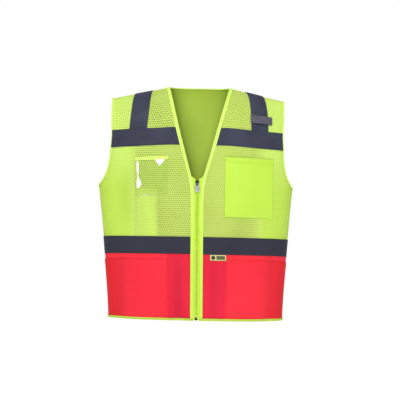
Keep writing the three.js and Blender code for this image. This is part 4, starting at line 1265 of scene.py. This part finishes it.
def makeSlider():
    front, half, foot, top = chainFront - slider["gap"], slider["half"], slider["foot"], slider["top"]
    middle = front - slider["thick"] / 2
    cutPlace = (0, 0, (foot + slider["shoulder"] - form["zeroHeight"]) * mm)
    plate = startBlock("frontPlate", (-half, front - slider["thick"], foot), (half, front, top), "blackEnamel")
    editFaces(plate, everyFace, lambda: bpy.ops.mesh.bisect(plane_co=cutPlace, plane_no=(0, 0, 1)))
    editFaces(plate, facesTowards(z=-1), scaleBy(0.78, 1, 1, (0, middle, foot)))
    editFaces(plate, facesTowards(z=1), scaleBy(0.9, 1, 1, (0, middle, top)))
    editFaces(plate, facesTowards(y=-1), insetBy(1.2), pushBy(0, -0.3, 0))
    roundEdges(plate, 0.3)
    # the rear plate stops short on the wearer's left, so that the fronts can part
    reach, rearFront, rearBack = slider["rear"]
    rear = startBlock("rearPlate", (-half, rearFront, foot), (reach, rearBack, top), "blackEnamel")
    editFaces(rear, facesTowards(z=-1), scaleBy(0.82, 1, 1, (reach, -102, foot)))
    roundEdges(rear, 0.4)
    post = startBlock("post", (-0.5, front - 0.8, top - 3), (0.5, -102.2, top), "blackEnamel")
    blocks = [plate, rear, post]
    for side in (-1, 1):
        low, high = sorted(side * edge for edge in slider["flange"])
        wall = startBlock("flange", (low, front - 0.6, foot + 4), (high, front + 0.8, top - 1.2), "blackEnamel")
        roundEdges(wall, 0.25)
        blocks.append(wall)
    finishHard(joinBlocks("zipSlider", [*blocks, makeBail()]), "zip_slider", ["zip_slider"])


zipPull = {"axis": (-109.0, 401.2), "half": 6.1, "thickHalf": 0.75, "foot": 24.5, "shoulder": 6.2, "neck": 1.6,
           "head": 5.2, "ribs": 6, "ribStep": 2.3, "ribTall": 1.1, "ribHalf": 4.2}


def makePull():
    (axisY, axisZ), half, thick = zipPull["axis"], zipPull["half"], zipPull["thickHalf"]
    pull = startBlock("zipPull", (-half, axisY - thick, axisZ - zipPull["foot"]),
                      (half, axisY + thick, axisZ - zipPull["shoulder"]), "satinSteel")
    editFaces(pull, facesTowards(z=1), pushBy(0, 0, zipPull["neck"]),
              scaleBy(0.72, 1, 1, (0, axisY, axisZ - 4)), pushBy(0, 0, zipPull["head"]),
              scaleBy(0.94, 1, 1, (0, axisY, axisZ)))
    editFaces(pull, lambda middle, normal: normal.y < -0.9 and middle.z < axisZ - 7, insetBy(1.3),
              pushBy(0, 0.35, 0))
    cutter = startBlock("eyeCutter", (-2.6, axisY - 3, axisZ - 6.6), (2.6, axisY + 3, axisZ - 0.8),
                        "satinSteel")
    roundEdges(cutter, 1.4, 3)
    cut = pull.modifiers.new("eye", "BOOLEAN")
    cut.operation, cut.object, cut.solver = "DIFFERENCE", cutter, "EXACT"
    applyAll(pull)
    bpy.data.objects.remove(cutter)
    roundEdges(pull, 0.3)
    ribs = []
    for step in range(zipPull["ribs"]):
        low = axisZ - 22.2 + step * zipPull["ribStep"]
        rib = startBlock("rib", (-zipPull["ribHalf"], axisY - 0.8, low),
                         (zipPull["ribHalf"], axisY - 0.2, low + zipPull["ribTall"]), "satinSteel")
        roundEdges(rib, 0.28)
        ribs.append(rib)
    finishHard(joinBlocks("zipPull", [pull, *ribs]), "zip_pull", ["zip_pull"])


makeZipTapes()
makeChain()
makeZipEnds()
makeSlider()
makePull()
print("vest: zip ready")

# Stitching: thread showing between needle holes
thread = {"pitch": 3.4, "length": 2.5, "radius": 0.26, "overTape": 2.75, "overPocket": 2.8, "overEdging": 3.0}
stitchFaces = [(0, 1, 2), (0, 2, 3), (0, 3, 4), (0, 4, 1), (5, 6, 2, 1), (6, 7, 3, 2), (7, 8, 4, 3),
               (8, 5, 1, 4), (6, 5, 9), (7, 6, 9), (8, 7, 9), (5, 8, 9)]


def alongPath(distance, travel, values):
    return np.stack([np.interp(distance, travel, values[:, k]) for k in range(3)], -1)


def stitchRow(points, normals, pitch=thread["pitch"], length=thread["length"], radius=thread["radius"]):
    # each stitch is a small lozenge that dips into the cloth at both ends
    travel = np.concatenate([[0], np.cumsum(np.linalg.norm(np.diff(points, axis=0), axis=1))])
    starts = (np.arange(int(travel[-1] // pitch)) + 0.5) * pitch - length / 2
    a, b = alongPath(starts, travel, points), alongPath(starts + length, travel, points)
    normal = unit(alongPath(starts, travel, normals)) * radius
    side = unit(np.cross(unit(b - a), normal)) * radius
    rings = [a - normal]
    for share in (0.25, 0.75):
        middle = a + (b - a) * share
        rings += [middle + side, middle + normal, middle - side, middle - normal]
    return np.stack([*rings, b - normal], 1)


def stitchPiece(name, rows, look, body):
    stitches = np.concatenate(rows)
    faces = [tuple(i + k * 10 for i in f) for k in range(len(stitches)) for f in stitchFaces]
    uv = np.tile(np.linspace(0, 2.5, 10)[:, None] * mm, (len(stitches), 2))
    attach(makePiece(name, inFrame(stitches), faces, look, uv, smooth=0), body, [])


def seamAlong(girth, rise, offset):
    points = clothPoint(girth, rise, np.full(np.shape(girth), float(offset)))
    return stitchRow(points, bodyNormal(girth, rise))


def makeStitching():
    heights = np.linspace(6, 700, 220)
    lime, red, grey = {1: [], -1: []}, {1: [], -1: []}, {1: [], -1: []}
    drops = (2.0, levels["tape"] - 2.0)
    pocketNear, pocketDrop = pockets["lower"]
    for side in (1, -1):
        for inset in (4.6, 10.4):
            girth = byX(lambda h: edgingInner(h) + inset)(heights)
            lime[side].append(seamAlong(girth * side, heights, thread["overEdging"]))
        acrossX = np.linspace(52, 262, 120)
        for drop in drops:
            girth = girthAt(acrossX, 540.0)
            rise = byHeight(below(chestTapeTop, drop))(girth)
            keep = (acrossX > edgingInner(chestTapeTop(acrossX) - drop) + 15) & (acrossX < 251)
            grey[side].append(seamAlong(girth[keep] * side, rise[keep], thread["overTape"]))
            girth = girthOf(np.linspace(lengthOf(2.3), sideLength, 140))
            grey[side].append(seamAlong(girth * side, waistTapeTop(girth) - drop, thread["overTape"]))
        upPocket = np.linspace(6, 172, 60)
        near = atX(pocketNear + 2)(upPocket)
        red[side].append(seamAlong(near * side, upPocket, thread["overPocket"]))
        girth = girthOf(np.linspace(lengthOf(near[-1]) + 2, sideLength - 2, 120))
        mouth = below(waistTapeTop, levels["tape"] + pocketDrop)(girth)
        red[side].append(seamAlong(girth * side, mouth - 14, 3.7))
    near, far, top, fall, tall = pockets["chest"]
    for x in (near + 2.2, far - 2.2):
        z = np.linspace(top - tall + 4, top - 8, 60)
        lime[1].append(seamAlong(atX(x)(z), riseAt(x, z), thread["overPocket"]))
    x = np.linspace(near + 2, far - 2, 60)
    for z, offset in ((top - (tall - 2.2) - fall / 2 * (x - near), thread["overPocket"]),
                      (top - 11 - fall * (x - near), 5.3)):
        lime[1].append(seamAlong(girthAt(x, z), riseAt(x, z), offset))
    for name, rows, look in (("LimeStitching", lime, "limeThread"), ("TapeStitching", grey, "tapeThread"),
                             ("RedStitching", red, "redThread")):
        for side, word, body in clothSides:
            stitchPiece(word + name, rows[side], look, body)
    back = []
    for drop in drops:
        girth = girthOf(np.linspace(sideLength, 2 * lengthOf(180) - sideLength, 300))
        back.append(seamAlong(girth, waistTapeTop(girth) - drop, thread["overTape"]))
        x = np.linspace(-246, 246, 300)
        height = chestTapeTop(x) - drop
        back.append(seamAlong(girthAt(x, height, True), riseAt(x, height), thread["overTape"]))
    stitchPiece("backTapeStitching", back, "tapeThread", "root")


# Microphone tab on the wearer's left shoulder
tab = {"centre": 185.5, "height": 591, "free": 32.5, "seam": 23.54, "width": 25, "lift": 4.6, "thick": 1.4,
       "patch": (-28.5, -18.5), "hook": (0.9, 0.1), "loop": (2.0, 1.1), "sink": 1.6, "arch": 0.5, "bend": 2.5,
       "stitch": (3.0, 1.9, 0.24)}


def tabFrame():
    # where the tab is, and its directions along the strap, across it and off the cloth
    girth, rise = float(girthAt(tab["centre"], tab["height"])), float(riseAt(tab["centre"], tab["height"]))
    out = bodyNormal(np.array(girth), np.array(rise))
    along = unit(bodyPoint(girth + 1, rise) - bodyPoint(girth - 1, rise))
    place = bodyPoint(girth, rise)
    hung = np.array([bow(place[None])[0], 0, -hang["sag"] * place[0]])
    settled = float(drape(np.array(girth), np.array(rise)))
    return place + hung + out * settled * 0.5, along, np.cross(out, along), out


def settle(x):
    # comes down to the cloth where it is sewn, and arches a little over the tape
    arch = np.cos(np.clip(x / tab["free"], -1, 1) * math.pi / 2)
    return tab["arch"] * arch - tab["sink"] * soften((x - tab["seam"] + 1.5) / 3.0)


def makeStrap(name, ends, levelsOf, halfWide, look, sink, columns, rows, directions):
    place, along, across, out = directions
    low, high = levelsOf
    x, y = np.meshgrid(np.linspace(*ends, columns), np.linspace(-halfWide, halfWide, rows))
    edge = 1 - 0.18 * np.clip((np.abs(y) - halfWide + 1.2) / 1.2, 0, 1)
    skins = [place + x[..., None] * along + y[..., None] * across + (z + sink(x))[..., None] * out
             for z in (low + (high - low) * edge, low)]
    uv = np.stack([x, y], -1).reshape(-1, 2) * mm
    vertices = inFrame(np.concatenate([skin.reshape(-1, 3) for skin in skins]))
    return makePiece(name, vertices, skinFaces(rows, columns), look, np.concatenate([uv, uv]))


def makeTab():
    directions = tabFrame()
    place, along, across, out = directions
    half, lift, thick = tab["width"] / 2, tab["lift"], tab["thick"]
    strap = makeStrap("micTabStrap", (-tab["free"], tab["free"]), (lift, lift + thick), half, "webbing", settle,
                      40, 14, directions)
    pivot, step = place + along * (tab["seam"] + 0.2), along * tab["bend"]
    start, end = (tuple(inFrame(point)[0]) for point in (pivot + step, pivot - step))
    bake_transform(strap)
    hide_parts("mic_tab_strap", "mic_tab_base")
    for name, drops, body, node in (("micTabHook", tab["hook"], "mic_tab", "mic_tab_hook"),
                                    ("micTabLoop", tab["loop"], "root", "mic_tab_loop")):
        patch = makeStrap(name, tab["patch"], (lift - drops[0], lift - drops[1]), half - 1, "hookPatch",
                          lambda x: x * 0, 16, 16, directions)
        attach(patch, body, [node])
    rows, y = [], np.linspace(-half + 1.5, half - 1.5, 20)[:, None]
    for end in (tab["seam"] + 1.2, tab["free"] - 1.2):
        points = place + along * end + across * y + out * (lift + thick - 1.35)
        rows.append(stitchRow(points, np.broadcast_to(out, points.shape), *tab["stitch"]))
    stitchPiece("micTabStitching", rows, "darkThread", "root")


makeTab()
makeStitching()
print("vest: tab and stitching ready")

# Room, light and camera
room = {
    "floorDrop": 1.25, "floorHalf": 6.0, "floorGlow": 0.52, "worldLight": 0.48, "lookAt": (0, 0, -0.25),
    "roll": -0.4, "distance": 4.396, "field": 1.168, "aim": (0.0086, -0.316),
    "lamps": (("keyLight", (-1.6, -3.2, 1.9), 1.8, 65.0), ("fillLight", (2.3, -3.0, 1.1), 2.2, 34.0),
              ("topLight", (0.1, -1.3, 2.4), 1.6, 30.0)),  # place, size and power
}


def makeFloor():
    bpy.ops.object.select_all(action="DESELECT")
    bpy.ops.mesh.primitive_circle_add(vertices=96, radius=room["floorHalf"], fill_type="NGON",
                                      location=(0, 0, -room["floorDrop"]))
    floor = bpy.context.object
    floor.name = "floor"
    tree, shader, place = startMaterial("paleFloor", 0.9, "Generated")
    grain = addNode(tree, "ShaderNodeTexNoise", {"Scale": 30.0}).outputs[0]
    shade = blendColours(tree, grain, (0.93, 0.93, 0.93, 1), (0.96, 0.96, 0.96, 1))
    tree.links.new(shade, shader.inputs["Base Color"])
    shader.inputs["Emission Color"].default_value = white
    shader.inputs["Emission Strength"].default_value = room["floorGlow"]
    floor.data.materials.append(looks["paleFloor"])


def makeLights():
    world = bpy.data.worlds.new("studio")
    scene.world = world
    world.use_nodes = True
    tree = world.node_tree
    sky = tree.nodes["Background"]
    seen = addNode(tree, "ShaderNodeLightPath").outputs["Is Camera Ray"]
    tree.links.new(remap(tree, seen, 0.0, 1.0, room["worldLight"], 1.0), sky.inputs["Strength"])
    sky.inputs["Color"].default_value = white
    for name, place, size, power in room["lamps"]:
        bpy.ops.object.light_add(type="AREA", location=place)
        lamp = bpy.context.object
        lamp.name = name
        lamp.data.size, lamp.data.energy = size, power
        lamp.rotation_euler = (Vector(room["lookAt"]) - Vector(place)).to_track_quat("-Z", "Y").to_euler()


def makeCamera():
    camera = bpy.data.objects.new("camera", bpy.data.cameras.new("camera"))
    scene.collection.objects.link(camera)
    aimX, aimZ = room["aim"]
    camera.location = (aimX, -form["front"] * mm - room["distance"], aimZ)
    camera.rotation_euler = (math.pi / 2, math.radians(room["roll"]), 0)
    camera.data.lens = camera.data.sensor_width * room["distance"] / room["field"]
    camera.data.clip_end = 100
    scene.camera = camera
    scene.view_settings.view_transform = "Standard"
    scene.view_settings.look = "None"


makeFloor()
makeLights()
makeCamera()
print("vest: room ready")
